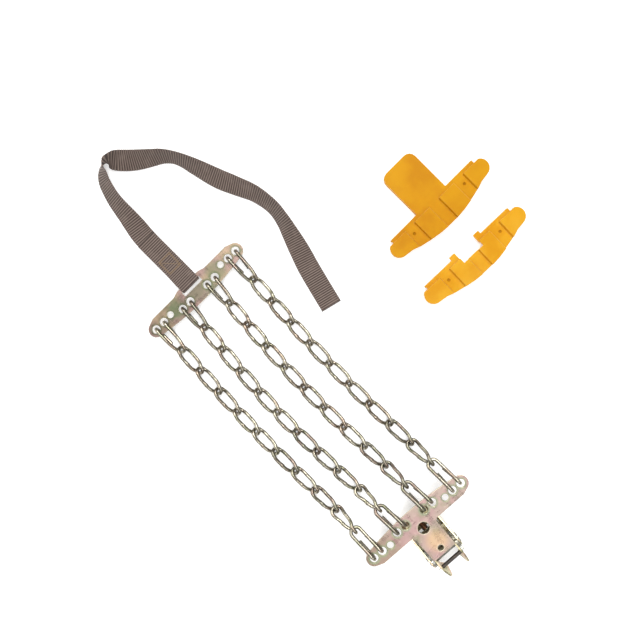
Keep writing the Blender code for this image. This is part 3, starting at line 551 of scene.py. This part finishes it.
def webbingSection():
    # across and up, each from -1 to 1: a flat band with soft selvedges
    edge = strap["selvedge"] / (strap["width"] / 2)
    top = [(-1 + 2 * i / 14, 1.0) for i in range(15)]
    top[0], top[-1] = (-1 + edge, 0.90), (1 - edge, 0.90)
    upperHalf = [(-1.0, 0.0), (-1 + edge * 0.35, 0.62)] + top + [(1 - edge * 0.35, 0.62)]
    return upperHalf + [(-u, -v) for u, v in upperHalf]


def strapMesh(stations):
    section = webbingSection()
    work = bmesh.new()
    place = work.verts.layers.float_vector.new("place")
    rings = []
    run = 0.0
    for i, (centre, side) in enumerate(stations):
        before = stations[max(i - 1, 0)][0]
        after = stations[min(i + 1, len(stations) - 1)][0]
        run += (centre - before).length
        heading = (after - before).normalized()
        across = (side - heading * side.dot(heading)).normalized()
        normal = heading.cross(across)
        valley = 0.5 - 0.5 * cos(2 * pi * run / strap["ribPitch"])
        ring = []
        reach = (1 - strap["scallop"] * valley) * strap["width"] / 2
        for u, v in section:
            up = v * (strap["thickness"] / 2 - strap["ribDepth"] * valley * abs(v))
            vert = work.verts.new(centre + across * u * reach + normal * up)
            vert[place] = (run, u * strap["width"] / 2, v)
            ring.append(vert)
        rings.append(ring)
    skinRings(work, rings)
    return softened(meshFrom(work, "webbingStrap"), 60)


def webbingMaterial(runLength):
    material, tree, shader = newMaterial("brownWebbing", 0.82)
    place = attributeOf(tree, "place", "Vector")
    weave = useGroup(tree, "weave", {"Place": place, "Pitch": strap["ribPitch"], "Thread": 0.0012})
    cloud = noiseOf(tree, place, 60.0, 3.0)
    lengthwise = vectorOf(tree, "MULTIPLY", place, (1.0, 0.06, 0.0))
    unevenness = noiseOf(tree, lengthwise, 420.0, 1.0)
    patches = noiseOf(tree, place, 90.0, 2.0)
    depth = scaleOf(tree, spanOf(tree, unevenness, -0.55, 1.15), spanOf(tree, patches, 0.4, 1.6))
    rib = mathOf(tree, "ADD", stepOf(tree, weave["Rib"], 0.05, 0.80), scaleOf(tree, depth, -0.45))
    color = mixOf(tree, spanOf(tree, rib, 0.30, 1.0), strap["dark"], strap["main"])
    glint = scaleOf(tree, stepOf(tree, weave["Rib"], 0.55, 1.0), spanOf(tree, unevenness, 0.1, 1.3))
    color = mixOf(tree, glint, color, strap["light"])
    color = mixOf(tree, scaleOf(tree, stepOf(tree, cloud, 0.50, 0.75), 0.22), color, strap["light"])
    along = partsOf(tree, place)["X"]
    ends = mathOf(tree, "MAXIMUM", stepOf(tree, along, 0.0016, 0.0),
                  stepOf(tree, along, runLength - 0.0016, runLength))
    color = mixOf(tree, scaleOf(tree, ends, 0.8), color, strap["dark"])
    tree.links.new(color, shader.inputs["Base Color"])
    tree.links.new(spanOf(tree, weave["Yarn"], 0.92, 0.70), shader.inputs["Roughness"])
    shader.inputs["Sheen Weight"].default_value = 0.08
    addBump(tree, shader, weave["Height"], 0.55, 0.0003)
    return material


boxStitch = {"centre": -0.0315, "length": 0.0190, "width": 0.0170, "stitch": 0.0022, "gap": 0.0008,
             "thread": 0.00036, "inset": 0.0011, "color": rgb(150, 128, 100), "fleck": rgb(122, 98, 76),
             "rise": ((0.0, -0.00035), (0.15, 0.00005), (0.5, 0.00018), (0.85, 0.00005), (1.0, -0.00035))}


def boxCorners(inset):
    x0 = boxStitch["centre"] - boxStitch["length"] / 2 + inset
    x1 = boxStitch["centre"] + boxStitch["length"] / 2 - inset
    half = boxStitch["width"] / 2 - inset
    return [(x0, -half), (x1, -half), (x1, half), (x0, half), (x0, -half)]


def stitchPaths(topAt):
    # stitches twice round a box and along its diagonal, lying on the flap
    corners = boxCorners(0.0)
    innerCorners = boxCorners(boxStitch["inset"])
    runs = list(zip(corners, corners[1:])) + [(corners[0], corners[2])]
    runs += list(zip(innerCorners, innerCorners[1:]))
    paths = []
    pitch = boxStitch["stitch"] + boxStitch["gap"]
    for start, stop in runs:
        a, b = Vector(start), Vector(stop)
        count = max(1, round((b - a).length / pitch))
        for i in range(count):
            p = a.lerp(b, (i + 0.12) / count)
            q = a.lerp(b, (i + 0.88) / count)
            path = []
            for share, lift in boxStitch["rise"]:
                spot = p.lerp(q, share)
                path.append((spot.x, spot.y, topAt(spot.x) + lift))
            paths.append(path)
    return paths


def threadMaterial():
    material, tree, shader = newMaterial("stitchThread", 0.7)
    vector = objectPlace(tree)
    fleck = noiseOf(tree, vector, 900.0, 2.0)
    tree.links.new(mixOf(tree, fleck, boxStitch["color"], boxStitch["fleck"]), shader.inputs["Base Color"])
    addBump(tree, shader, noiseOf(tree, vector, 3000.0, 2.0), 0.4, 0.0001)
    return material


def buildStrap():
    toRow = strapPlateFrame()
    stations, slotIndex = strapStations()
    mesh = strapMesh(stations)
    mesh.transform(toRow)
    runs = [0.0]
    for (a, _), (b, _) in zip(stations, stations[1:]):
        runs.append(runs[-1] + (b - a).length)
    piece = addPiece("webbing_strap", mesh, webbingMaterial(runs[-1]), "strap_plate", ["strap"])

    flapTops = [(station[0].x, station[0].z + strap["thickness"] / 2) for station in stations[:slotIndex]]

    def topAt(x):
        return min(flapTops, key=lambda top: abs(top[0] - x))[1] - 0.0001

    stitches = wireMesh("box_stitch", stitchPaths(topAt), boxStitch["thread"], resolution=2)
    stitches.transform(toRow)
    sewing = addPiece("box_stitch", stitches, threadMaterial(), "strap_plate")


buildStrap()


# chains: four runs of twisted links, hung on the plates by open hook links

chain = {"wire": 0.0020, "innerLength": 0.0335, "innerWidth": 0.0080, "slack": 0.00175, "twist": radians(45),
         "bows": (-0.007, -0.009, -0.011, -0.006), "weldPlace": 0.0012, "weldLength": 0.0017,
         "weldSwell": 0.17, "wobble": radians(5),
         "hookGap": 0.0054, "tailReach": 0.0240, "tailRise": 0.0048, "tailInset": 0.0014,
         "hookTwistEnd": 0.0190, "touchGap": 0.0003, "twistPower": 2.1,
         "hookTwists": (radians(38), radians(9)),
         "rolls": {8: radians(5), 9: radians(16), 10: radians(36)}}
chain["offsets"] = (plates["outerChain"], plates["innerChain"], -plates["innerChain"], -plates["outerChain"])

# side is the colour of the painted shade on the wires' sides and undersides
chainLooks = (
    {"base": rgb(160, 154, 138), "warm": rgb(150, 134, 118), "green": rgb(140, 138, 114),
     "pale": rgb(214, 206, 184), "edge": rgb(214, 206, 184), "scale": 70.0, "scuff": 700.0,
     "rough": (0.20, 0.36), "metallic": 0.92, "bump": 0.25, "weld": rgb(98, 84, 72), "side": rgb(70, 65, 56)},
    {"base": rgb(142, 138, 122), "warm": rgb(148, 130, 118), "green": rgb(124, 124, 100),
     "pale": rgb(202, 194, 170), "edge": rgb(205, 198, 176), "scale": 85.0, "scuff": 640.0,
     "rough": (0.22, 0.40), "metallic": 0.92, "bump": 0.25, "weld": rgb(90, 76, 66), "side": rgb(62, 59, 49)},
    {"base": rgb(172, 166, 148), "warm": rgb(160, 142, 126), "green": rgb(150, 148, 122),
     "pale": rgb(226, 218, 196), "edge": rgb(224, 216, 196), "scale": 60.0, "scuff": 760.0,
     "rough": (0.18, 0.34), "metallic": 0.92, "bump": 0.25, "weld": rgb(106, 92, 78),
     "side": rgb(78, 72, 62)})


def holeInset(run):
    return plates["outerInset"] if run in (0, 3) else plates["innerInset"]


def plateWidthAt(y):
    fall = plates["middleWidth"] - (plates["lobeX"] + plates["lobe"])
    return plates["middleWidth"] - fall * (y / (plates["outerChain"] + plates["legOffset"])) ** 2


def rowPoint(row):
    return joints["strap_plate_fold" if row == 0 else "row_%02d_fold" % row]


def junctionOf(run, row):
    # the meeting point of two links, from the row's own hinge line
    first, last, here = (Vector(rowPoint(i)["pos_m"]) for i in (0, 11, row))
    progress = (here.x - first.x) / (last.x - first.x)
    sideways = chain["offsets"][run] + chain["bows"][run] * sin(pi * progress)
    axis = Vector(rowPoint(row)["axis"])
    return here + axis * (sideways / axis.y)


def chordFrame(start, stop):
    along = (stop - start).normalized()
    side = Vector((0, 0, 1)).cross(along).normalized()
    turned = Matrix((along, side, along.cross(side))).transposed().to_4x4()
    turned.translation = start
    return turned


def ratchetFrame():
    # the ratchet plate's straight edge; the plate points along +X from there
    joint = joints["row_11_fold"]
    axis = Vector(joint["axis"])
    along = Vector((axis.y, -axis.x, 0))
    origin = Vector(joint["pos_m"]) + plates["innerInset"] * along
    turned = Matrix((along, axis, Vector((0, 0, 1)))).transposed().to_4x4()
    turned.translation = Vector((origin.x, origin.y, 0))
    return turned


def ratchetPlateFrame():
    # mirrored, because the plate's chain side is at the other end
    return ratchetFrame() @ Matrix.Diagonal((-1, 1, 1, 1))


def weldShare(x):
    return 1 + chain["weldSwell"] * exp(-((x - chain["weldPlace"]) / chain["weldLength"]) ** 2)


def twistedLinkPath():
    reach = chain["innerLength"] / 2 - chain["innerWidth"] / 2
    bend = chain["innerWidth"] / 2 + chain["wire"]
    flat = [(x, y, 1) for x, y in arc((reach, 0), bend, -pi / 2, pi / 2, 14)]
    flat += [(reach - 2 * reach * i / 10, bend, 1) for i in range(1, 10)]
    flat += [(x, y, 1) for x, y in arc((-reach, 0), bend, pi / 2, 3 * pi / 2, 14)]
    along = [-reach + 2 * reach * i / 30 for i in range(1, 30)]
    flat += [(x, -bend, weldShare(x)) for x in along]
    path = []
    for x, y, swell in flat:
        share = max(-1.0, min(1.0, x / reach))
        turn = copysign(chain["twist"] * abs(share) ** chain["twistPower"], share)
        path.append((x, y * cos(turn), y * sin(turn), swell))
    return path


def hookLinkPath(reach, depth, twist):
    bendRadius = (chain["hookGap"] + 2 * chain["wire"]) / 2
    legY = chain["innerWidth"] / 2 + chain["wire"]
    bendX = reach - sqrt(bendRadius ** 2 - (bendRadius - depth) ** 2)
    roundCentre = chain["innerWidth"] / 2 - chain["slack"] / 2
    tailEnd = reach - chain["tailReach"]
    tailY = legY - chain["tailInset"]
    low = -2 * bendRadius
    half = []
    for i in range(9):
        t = i / 9
        half.append((tailEnd + (bendX - tailEnd) * t, tailY + (legY - tailY) * t,
                     low + chain["tailRise"] * (1 - t) ** 1.35))
    half += [(bendX + bendRadius * cos(angle), legY, -bendRadius + bendRadius * sin(angle))
             for angle in (-pi / 2 + pi * i / 14 for i in range(15))]
    half += [(bendX + (chain["hookTwistEnd"] - bendX) * i / 3, legY, 0.0) for i in (1, 2, 3)]
    half += [(chain["hookTwistEnd"] + (roundCentre - chain["hookTwistEnd"]) * i / 8, legY, 0.0)
             for i in range(1, 8)]
    closed = [(x, y, 0.0) for x, y in arc((roundCentre, 0), legY, pi / 2, 3 * pi / 2, 16)]
    path = []
    for x, y, z in half + closed + [(x, -y, z) for x, y, z in reversed(half)]:
        share = max(0.0, min(1.0, (chain["hookTwistEnd"] - x) / (chain["hookTwistEnd"] - roundCentre)))
        turn = -twist * share ** 1.5 if z == 0.0 else 0.0
        path.append((x, y * cos(turn) - z * sin(turn), y * sin(turn) + z * cos(turn)))
    return path


def hookLink(run, nearRow, plateTop, toPlate):
    corner = junctionOf(run, nearRow)
    hole = toPlate @ Vector((holeInset(run), chain["offsets"][run], 0))
    hole.z = plateTop - plates["thickness"] / 2
    level = Vector((hole.x - corner.x, hole.y - corner.y, 0))
    lever = plateWidthAt(abs(chain["offsets"][run]) - plates["legOffset"]) - holeInset(run)
    slope = 0.2
    for _ in range(20):
        slope = atan((plateTop - corner.z + chain["touchGap"] + chain["wire"] / cos(slope))
                     / (level.length - lever))
    turned = chordFrame(corner, corner + level + Vector((0, 0, level.length * tan(slope))))
    local = turned.inverted() @ hole
    twist = chain["hookTwists"][0 if nearRow == 1 else 1]
    mesh = wireMesh("hook_link", [hookLinkPath(local.x, -local.z, twist)], chain["wire"])
    mesh.transform(turned)
    return mesh


def chainMaterial(name, look):
    # the weld's dark ring is placed in each link's own axes, kept on its mesh as "onLink"
    material = zincMaterial(name, look)
    tree = material.node_tree
    shader = tree.nodes["Principled BSDF"]
    color = shader.inputs["Base Color"].links[0].from_socket
    place = attributeOf(tree, "onLink", "Vector")
    weld = useGroup(tree, "spot", {"Vector": place, "Centre": (chain["weldPlace"], -0.006, 0.0),
                                   "Inner": 0.0012, "Outer": 0.0026})["Mask"]
    # painted shade: each link is darkened towards the weld colour near its ends, where the links meet
    ends = partsOf(tree, place)["X"]
    paintedEndShade = stepOf(tree, mathOf(tree, "ABSOLUTE", ends), 0.0150, 0.0185)
    color = mixOf(tree, scaleOf(tree, paintedEndShade, 0.25), color, look["weld"])
    color = mixOf(tree, scaleOf(tree, weld, 0.75), color, look["weld"])
    # painted shade: wire faces that turn away from straight up, the sides and undersides, are darkened towards the
    # side colour
    facing = partsOf(tree, put(tree, "NewGeometry").outputs["Normal"])["Z"]
    paintedSideShade = scaleOf(tree, stepOf(tree, facing, 0.72, 0.18), 0.85)
    tree.links.new(mixOf(tree, paintedSideShade, color, look["side"]), shader.inputs["Base Color"])
    return material


def keepPlace(mesh):
    layer = mesh.attributes.new("onLink", "FLOAT_VECTOR", "POINT")
    for vert in mesh.vertices:
        layer.data[vert.index].vector = vert.co


def buildChains():
    chance = random.Random(7)
    materials = [chainMaterial("zincWire%d" % (i + 1), look) for i, look in enumerate(chainLooks)]
    path = twistedLinkPath()
    for row in range(1, 12):
        for run in range(4):
            if row == 1:
                mesh = hookLink(run, 1, plates["strapTop"], strapPlateFrame())
            elif row == 11:
                mesh = hookLink(run, 10, plates["ratchetTop"], ratchetPlateFrame())
            else:
                start, stop = junctionOf(run, row - 1), junctionOf(run, row)
                mesh = wireMesh("twisted_link", [path], chain["wire"], cyclic=True)
                keepPlace(mesh)
                tip = chance.uniform(-1, 1) * chain["wobble"] + chain["rolls"].get(row, 0.0)
                roll = Matrix.Rotation(tip, 4, "X")
                middle = Matrix.Translation(((stop - start).length / 2, 0, 0))
                mesh.transform(chordFrame(start, stop) @ middle @ roll)
            node = "chain_%d_link_%02d" % (run + 1, row)
            addPiece(node + "_wire", mesh, chance.choice(materials), "row_%02d" % row, [node])
    print("chains: 44 links")


buildChains()


# the two stamped plates

strapPlateLook = {"base": rgb(154, 128, 120), "warm": rgb(156, 138, 114), "green": rgb(116, 118, 94),
                  "pale": rgb(178, 156, 146), "edge": rgb(192, 184, 162), "ring": rgb(90, 100, 70),
                  "scale": 36.0, "scuff": 260.0, "rough": (0.26, 0.46), "metallic": 0.85, "bump": 0.3}
ratchetPlateLook = {"base": rgb(178, 158, 146), "warm": rgb(180, 148, 144), "green": rgb(150, 142, 120),
                    "pale": rgb(202, 184, 168), "edge": rgb(206, 198, 172), "ring": rgb(140, 158, 122),
                    "tongue": rgb(214, 180, 138), "shade": rgb(142, 118, 100), "scale": 30.0,
                    "scuff": 240.0, "rough": (0.24, 0.44), "metallic": 0.85, "bump": 0.3}
strapSlot = {"low": 0.0024, "high": 0.0082, "corner": 0.0006, "half": 0.0135, "bulgeHalf": 0.0205}
tongue = {"half": 0.0155, "length": 0.0350, "fillet": 0.0045, "chamfer": 0.0015, "window": 0.0066,
          "windowInset": 0.0010, "hole": 0.0033, "holeInset": 0.0278}


def barOutline(back):
    lobeY = plates["outerChain"] + plates["legOffset"]
    edge = [(plateWidthAt(lobeY * (-1 + i / 16)), lobeY * (-1 + i / 16)) for i in range(33)]
    turn = radians(165)
    top = arc((plates["lobeX"], lobeY), plates["lobe"], 0.0, turn, 24)
    bottom = arc((plates["lobeX"], -lobeY), plates["lobe"], -turn, 0.0, 24)
    return edge[:-1] + top + back + bottom[:-1]


def barHoles():
    places = [((holeInset(run), offset + side * plates["legOffset"]), plates["chainHole"])
              for run, offset in enumerate(chain["offsets"]) for side in (-1, 1)]
    places += [((plates["padHoleX"], side * plates["padHoleY"]), plates["padHole"]) for side in (-1, 1)]
    return places


def easedEdge(start, stop, steps=8):
    # a soft S from one point to the other, level at both ends
    return [(start[0] + (stop[0] - start[0]) * (0.5 - 0.5 * cos(pi * i / steps)),
             start[1] + (stop[1] - start[1]) * i / steps) for i in range(steps + 1)]


def holeMarks(toPlate, places, height, ring):
    return ring, 0.72, [(toPlate @ Vector((*middle, height)), radius * 1.05, radius * 1.75)
                        for middle, radius in places]


def buildStrapPlate():
    toPlate = strapPlateFrame()
    cornerY = plates["outerChain"] + plates["legOffset"] - plates["endCorner"]
    rise = strap["bulge"]
    half = strapSlot["bulgeHalf"]
    back = [(0, cornerY)] + easedEdge((0, half + 0.005), (-rise, half - 0.005))
    back += easedEdge((-rise, -half + 0.005), (0, -half - 0.005)) + [(0, -cornerY)]
    corner = strapSlot["corner"]
    low, high = strapSlot["low"] + corner, strapSlot["high"] - corner
    wide = strapSlot["half"] - corner
    slot = []
    for turn, middle in enumerate(((high, wide), (low, wide), (low, -wide), (high, -wide))):
        slot += arc(middle, corner, turn * pi / 2, (turn + 1) * pi / 2, 4)
    loops = [barOutline(back)] + [circle(middle, radius) for middle, radius in barHoles()] + [slot]
    top = plates["strapTop"]
    mesh = stampedMesh("strap_plate", loops, top - plates["thickness"], top, plates["rounding"])
    mesh.transform(toPlate)
    look = strapPlateLook
    marks = [holeMarks(toPlate, barHoles(), top, look["ring"])]
    marks.append((rgb(96, 108, 78), 0.55, [(toPlate @ Vector((0.012, y, top)), 0.006, 0.016)
                                            for y in (-0.030, 0.032, 0.0)]))
    marks.append((rgb(172, 152, 120), 0.5, [(toPlate @ Vector((0.004, y, top)), 0.003, 0.013)
                                            for y in (-0.050, 0.052)]))
    addPiece("strap_plate_face", mesh, zincMaterial("zincStrapPlate", look, marks), "strap_plate",
             ["strap_plate"])


def buildRatchetPlate():
    toPlate = ratchetPlateFrame()
    cornerY = plates["outerChain"] + plates["legOffset"] - plates["endCorner"]
    half, length, fillet, tip = tongue["half"], tongue["length"], tongue["fillet"], tongue["chamfer"]
    back = [(0, cornerY)] + arc((-fillet, half + fillet), fillet, 0.0, -pi / 2, 10)
    back += arc((-length + tip, half - tip), tip, pi / 2, pi, 5)
    back += arc((-length + tip, -half + tip), tip, pi, 3 * pi / 2, 5)
    back += arc((-fillet, -half - fillet), fillet, pi / 2, 0.0, 10) + [(0, -cornerY)]
    places = barHoles()
    window = ((tongue["windowInset"], 0), tongue["window"])
    sight = ((-tongue["holeInset"], 0), tongue["hole"])
    loops = [barOutline(back)] + [circle(middle, radius) for middle, radius in places]
    loops += [circle(*window, 64), circle(*sight)]
    top = plates["ratchetTop"]
    mesh = stampedMesh("ratchet_plate", loops, top - plates["thickness"], top, plates["rounding"])
    mesh.transform(toPlate)
    mesh.flip_normals()
    look = ratchetPlateLook
    marks = [(look["shade"], 0.6, [(toPlate @ Vector((0.010, -0.056, top)), 0.010, 0.040)])]
    marks.append(holeMarks(toPlate, places, top, look["ring"]))
    marks.append((look["tongue"], 0.7, [(toPlate @ Vector((-0.019, 0.002, top)), 0.005, 0.017)]))
    marks.append((look["edge"], 0.55, [(toPlate @ Vector((*middle, top)), radius, radius + 0.0022)
                                       for middle, radius in (window, sight)]))
    addPiece("ratchet_plate_face", mesh, zincMaterial("zincRatchetPlate", look, marks), "ratchet_plate",
             ["ratchet_plate"])
    print("plates stamped")


buildStrapPlate()
buildRatchetPlate()


# the ratchet under the tongue

frameLook = {"base": rgb(196, 188, 150), "warm": rgb(202, 172, 146), "green": rgb(136, 134, 96),
             "pale": rgb(222, 216, 186), "edge": rgb(226, 222, 198), "scale": 55.0, "scuff": 420.0,
             "rough": (0.22, 0.42), "metallic": 0.85, "bump": 0.3}
handleLook = {"base": rgb(204, 196, 164), "warm": rgb(206, 180, 150), "green": rgb(148, 146, 108),
              "pale": rgb(226, 220, 196), "edge": rgb(232, 228, 208), "scale": 60.0, "scuff": 460.0,
              "rough": (0.22, 0.40), "metallic": 0.85, "bump": 0.3}
wheelLook = {"base": rgb(176, 176, 170), "warm": rgb(160, 154, 136), "green": rgb(138, 140, 128),
             "pale": rgb(214, 214, 208), "edge": rgb(232, 232, 228), "scale": 80.0, "scuff": 520.0,
             "rough": (0.20, 0.40), "metallic": 0.95, "bump": 0.3}
pawlLook = {"base": rgb(168, 158, 128), "warm": rgb(150, 128, 98), "green": rgb(122, 118, 88),
            "pale": rgb(204, 196, 168), "edge": rgb(220, 214, 190), "scale": 90.0, "scuff": 520.0,
            "rough": (0.24, 0.44), "metallic": 0.9, "bump": 0.3}
pinLook = {"base": rgb(66, 62, 60), "warm": rgb(84, 74, 66), "green": rgb(54, 54, 50),
           "pale": rgb(120, 114, 108), "edge": rgb(150, 146, 138), "scale": 120.0, "scuff": 800.0,
           "rough": (0.28, 0.48), "metallic": 0.9, "bump": 0.3}
springLook = {"base": rgb(126, 84, 58), "warm": rgb(98, 66, 50), "green": rgb(92, 74, 56),
              "pale": rgb(178, 132, 96), "edge": rgb(190, 150, 110), "scale": 200.0, "scuff": 1200.0,
              "rough": (0.28, 0.45), "metallic": 0.9, "bump": 0.2}
ratchet = {"axleHeight": 0.0143, "pinPlace": 0.0505, "pinRadius": 0.0022, "pinHalf": 0.0154,
           "pinChamfer": 0.0005, "slit": 0.0005, "springWire": 0.00055,
           "lockCoil": (-0.00595, 0.00515, 0.0030, 8), "driveCoil": (-0.00635, -0.00185, 0.0021, 4),
           "driveDrop": 0.0088, "leanStart": 0.0490, "leanRun": 0.006, "lean": 0.30, "leanTop": 0.0069,
           "leanCuts": 9, "leanStep": 0.0018}


def coilPath(rear, front, radius, height, turns):
    # closed end turns, and a steady rise between
    steps = turns * 24
    path = []
    for i in range(steps + 1):
        share = i / steps
        eased = share if turns < 5 else 0.5 - 0.5 * cos(pi * (0.08 + 0.84 * share)) / cos(pi * 0.08)
        angle = 2 * pi * i / 24
        path.append((rear + (front - rear) * eased, radius * cos(angle), height + radius * sin(angle)))
    return path


def pinMesh(toRatchet):
    # a rolled pin with a slit along it
    half, radius, chamfer = ratchet["pinHalf"], ratchet["pinRadius"], ratchet["pinChamfer"]
    profile = [(-half, 0.0), (-half, radius - chamfer), (-half + chamfer, radius), (half - chamfer, radius),
               (half, radius - chamfer), (half, 0.0)]
    around = [-pi / 2 + i * 2 * pi / 40 for i in range(40)]
    work = bmesh.new()
    rings = []
    for y, reach in profile:
        ring = []
        for i, angle in enumerate(around):
            r = reach - (ratchet["slit"] if i in (0, 1) and reach > 0.001 else 0.0)
            ring.append(work.verts.new((ratchet["pinPlace"] + max(r, 0.00005) * cos(angle), y,
                                        ratchet["axleHeight"] + max(r, 0.00005) * sin(angle))))
        rings.append(ring)
    skinRings(work, rings)
    mesh = softened(meshFrom(work, "guide_pin"), 35)
    mesh.transform(toRatchet)
    return mesh


def addCoil(name, coil, height, toRatchet, material, body, node):
    rear, front, radius, turns = coil
    mesh = wireMesh(name, [coilPath(rear, front, radius, height, turns)], ratchet["springWire"], resolution=3)
    mesh.transform(toRatchet)
    addPiece(name, mesh, material, body, [node])


def leanEars(mesh, toRatchet):
    # past the wheels the ears lean in at the bottom, so they show from above
    work = bmesh.new()
    work.from_mesh(mesh)
    along = toRatchet.to_3x3() @ Vector((1, 0, 0))
    for i in range(ratchet["leanCuts"]):
        cut = toRatchet @ Vector((ratchet["leanStart"] + i * ratchet["leanStep"], 0, 0))
        bmesh.ops.bisect_plane(work, geom=work.verts[:] + work.edges[:] + work.faces[:], plane_co=cut,
                               plane_no=along)
    toLocal = toRatchet.inverted()
    for vert in work.verts:
        place = toLocal @ vert.co
        share = min(max((place.x - ratchet["leanStart"]) / ratchet["leanRun"], 0.0), 1.0)
        lean = ratchet["lean"] * share * share * (3 - 2 * share)
        drop = max(ratchet["axleHeight"] + ratchet["leanTop"] - place.z, 0.0)
        place.y -= copysign(lean * drop, place.y)
        vert.co = toRatchet @ place
    work.to_mesh(mesh)
    work.free()
    return evenShading(mesh)


def buildRatchet():
    toRatchet = ratchetFrame()
    parts = (("ratchet_frame", "ratchet_plate", frameLook, 0.00035),
             ("ratchet_handle", "handle", handleLook, 0.00035),
             ("drive_pawl", "drive_pawl", pawlLook, 0.00030), ("lock_pawl", "lock_pawl", pawlLook, 0.00030),
             ("spindle_half_front", "spindle", wheelLook, 0.00035),
             ("spindle_half_back", "spindle", wheelLook, 0.00035),
             ("ratchet_wheel_left", "spindle", wheelLook, 0.00030),
             ("ratchet_wheel_right", "spindle", wheelLook, 0.00030))
    made = {}
    for node, body, look, rounding in parts:
        label = "zinc_" + body if look is not wheelLook else "brightSteel"
        if label not in made:
            made[label] = zincMaterial(label, look)
        mesh = finishedMesh(node, rounding)
        if node == "ratchet_frame":
            mesh = leanEars(mesh, toRatchet)
        addPiece(node + "_finish", mesh, made[label], body, [node])
    addPiece("guide_pin_rolled", pinMesh(toRatchet), zincMaterial("darkPin", pinLook), "ratchet_plate",
             ["guide_pin"])
    copper = zincMaterial("copperSpring", springLook)
    axle = ratchet["axleHeight"]
    addCoil("lock_spring_coil", ratchet["lockCoil"], axle, toRatchet, copper, "lock_pawl", "lock_spring")
    addCoil("drive_spring_coil", ratchet["driveCoil"], axle - ratchet["driveDrop"], toRatchet, copper,
            "drive_pawl", "drive_spring")
    print("ratchet finished")


buildRatchet()


# the two amber pads

padLook = {"tongue_pad": (rgb(197, 137, 4), rgb(188, 125, 2), rgb(204, 148, 16)),
           "notched_pad": (rgb(211, 154, 28), rgb(203, 140, 14), rgb(216, 166, 56)),
           "edge": rgb(222, 172, 84), "mark": rgb(84, 30, 2), "grain": 1400.0, "rough": (0.38, 0.52),
           "rounding": 0.0006, "dimple": 0.0019, "dimpleDepth": 0.0011, "top": 0.0070,
           "pegInset": 0.0136, "pegOffset": 0.0400}


def padFrame(node):
    # the pad's straight edge, from its face mount
    if node == "tongue_pad":
        return Matrix.Translation((mounts["tongue_pad_face"] - Vector((-0.030, 0, padLook["top"]))))
    turned = Matrix.Rotation(radians(-1.5), 4, "Z")
    turned.translation = mounts["notched_pad_face"] - turned.to_3x3() @ Vector((0.020, 0, padLook["top"]))
    return turned


def dimpled(mesh, places):
    # a small round sink over each peg, cut with balls sunk into the deck
    work = bmesh.new()
    radius = (padLook["dimple"] ** 2 + padLook["dimpleDepth"] ** 2) / (2 * padLook["dimpleDepth"])
    for place in places:
        lift = Matrix.Translation(place + Vector((0, 0, radius - padLook["dimpleDepth"])))
        bmesh.ops.create_icosphere(work, subdivisions=4, radius=radius, matrix=lift)
    balls = bpy.data.meshes.new("balls")
    work.to_mesh(balls)
    work.free()
    holder = placedObject("dimpled", mesh)
    cutter = placedObject("cutter", balls)
    cut = holder.modifiers.new("sink", "BOOLEAN")
    cut.operation = "DIFFERENCE"
    cut.solver = "EXACT"
    cut.object = cutter
    made = bakedMesh(holder)
    bpy.data.objects.remove(cutter)
    return made


def padMaterial(node, places):
    look = padLook
    main, deep, pale = look[node]
    material, tree, shader = newMaterial("amber_" + node, look["rough"][0])
    shader.inputs["Specular IOR Level"].default_value = 0.10
    vector = objectPlace(tree)
    grain = useGroup(tree, "mouldGrain", {"Vector": vector, "Scale": look["grain"]})
    color = mixOf(tree, stepOf(tree, grain["Cloud"], 0.35, 0.68), main, deep)
    broad = noiseOf(tree, vector, 14.0, 2.0)
    color = mixOf(tree, scaleOf(tree, stepOf(tree, broad, 0.45, 0.70), 0.5), color, pale)
    edge = attributeOf(tree, "edgeBand", "Fac")
    color = mixOf(tree, scaleOf(tree, edge, 0.65), color, look["edge"])
    ring = [(look["mark"], 0.80, [(place, 0.0012, 0.0024) for place in places]),
            (deep, 0.5, [(place, 0.0030, 0.0075) for place in places])]
    color = marksOn(tree, vector, color, ring)
    tree.links.new(color, shader.inputs["Base Color"])
    tree.links.new(spanOf(tree, grain["Height"], *look["rough"]), shader.inputs["Roughness"])
    shader.inputs["Subsurface Weight"].default_value = 0.12
    shader.inputs["Subsurface Radius"].default_value = (0.006, 0.0035, 0.001)
    shader.inputs["Subsurface Scale"].default_value = 0.5
    addBump(tree, shader, grain["Height"], 0.25, 0.0002)
    return material


def buildPads():
    for node in ("tongue_pad", "notched_pad"):
        toPad = padFrame(node)
        tops = [toPad @ Vector((padLook["pegInset"], side * padLook["pegOffset"], padLook["top"]))
                for side in (-1, 1)]
        mesh = dimpled(finishedMesh(node, padLook["rounding"], 3), tops)
        addPiece(node + "_moulding", mesh, padMaterial(node, tops), node, [node])
    print("pads moulded")


buildPads()
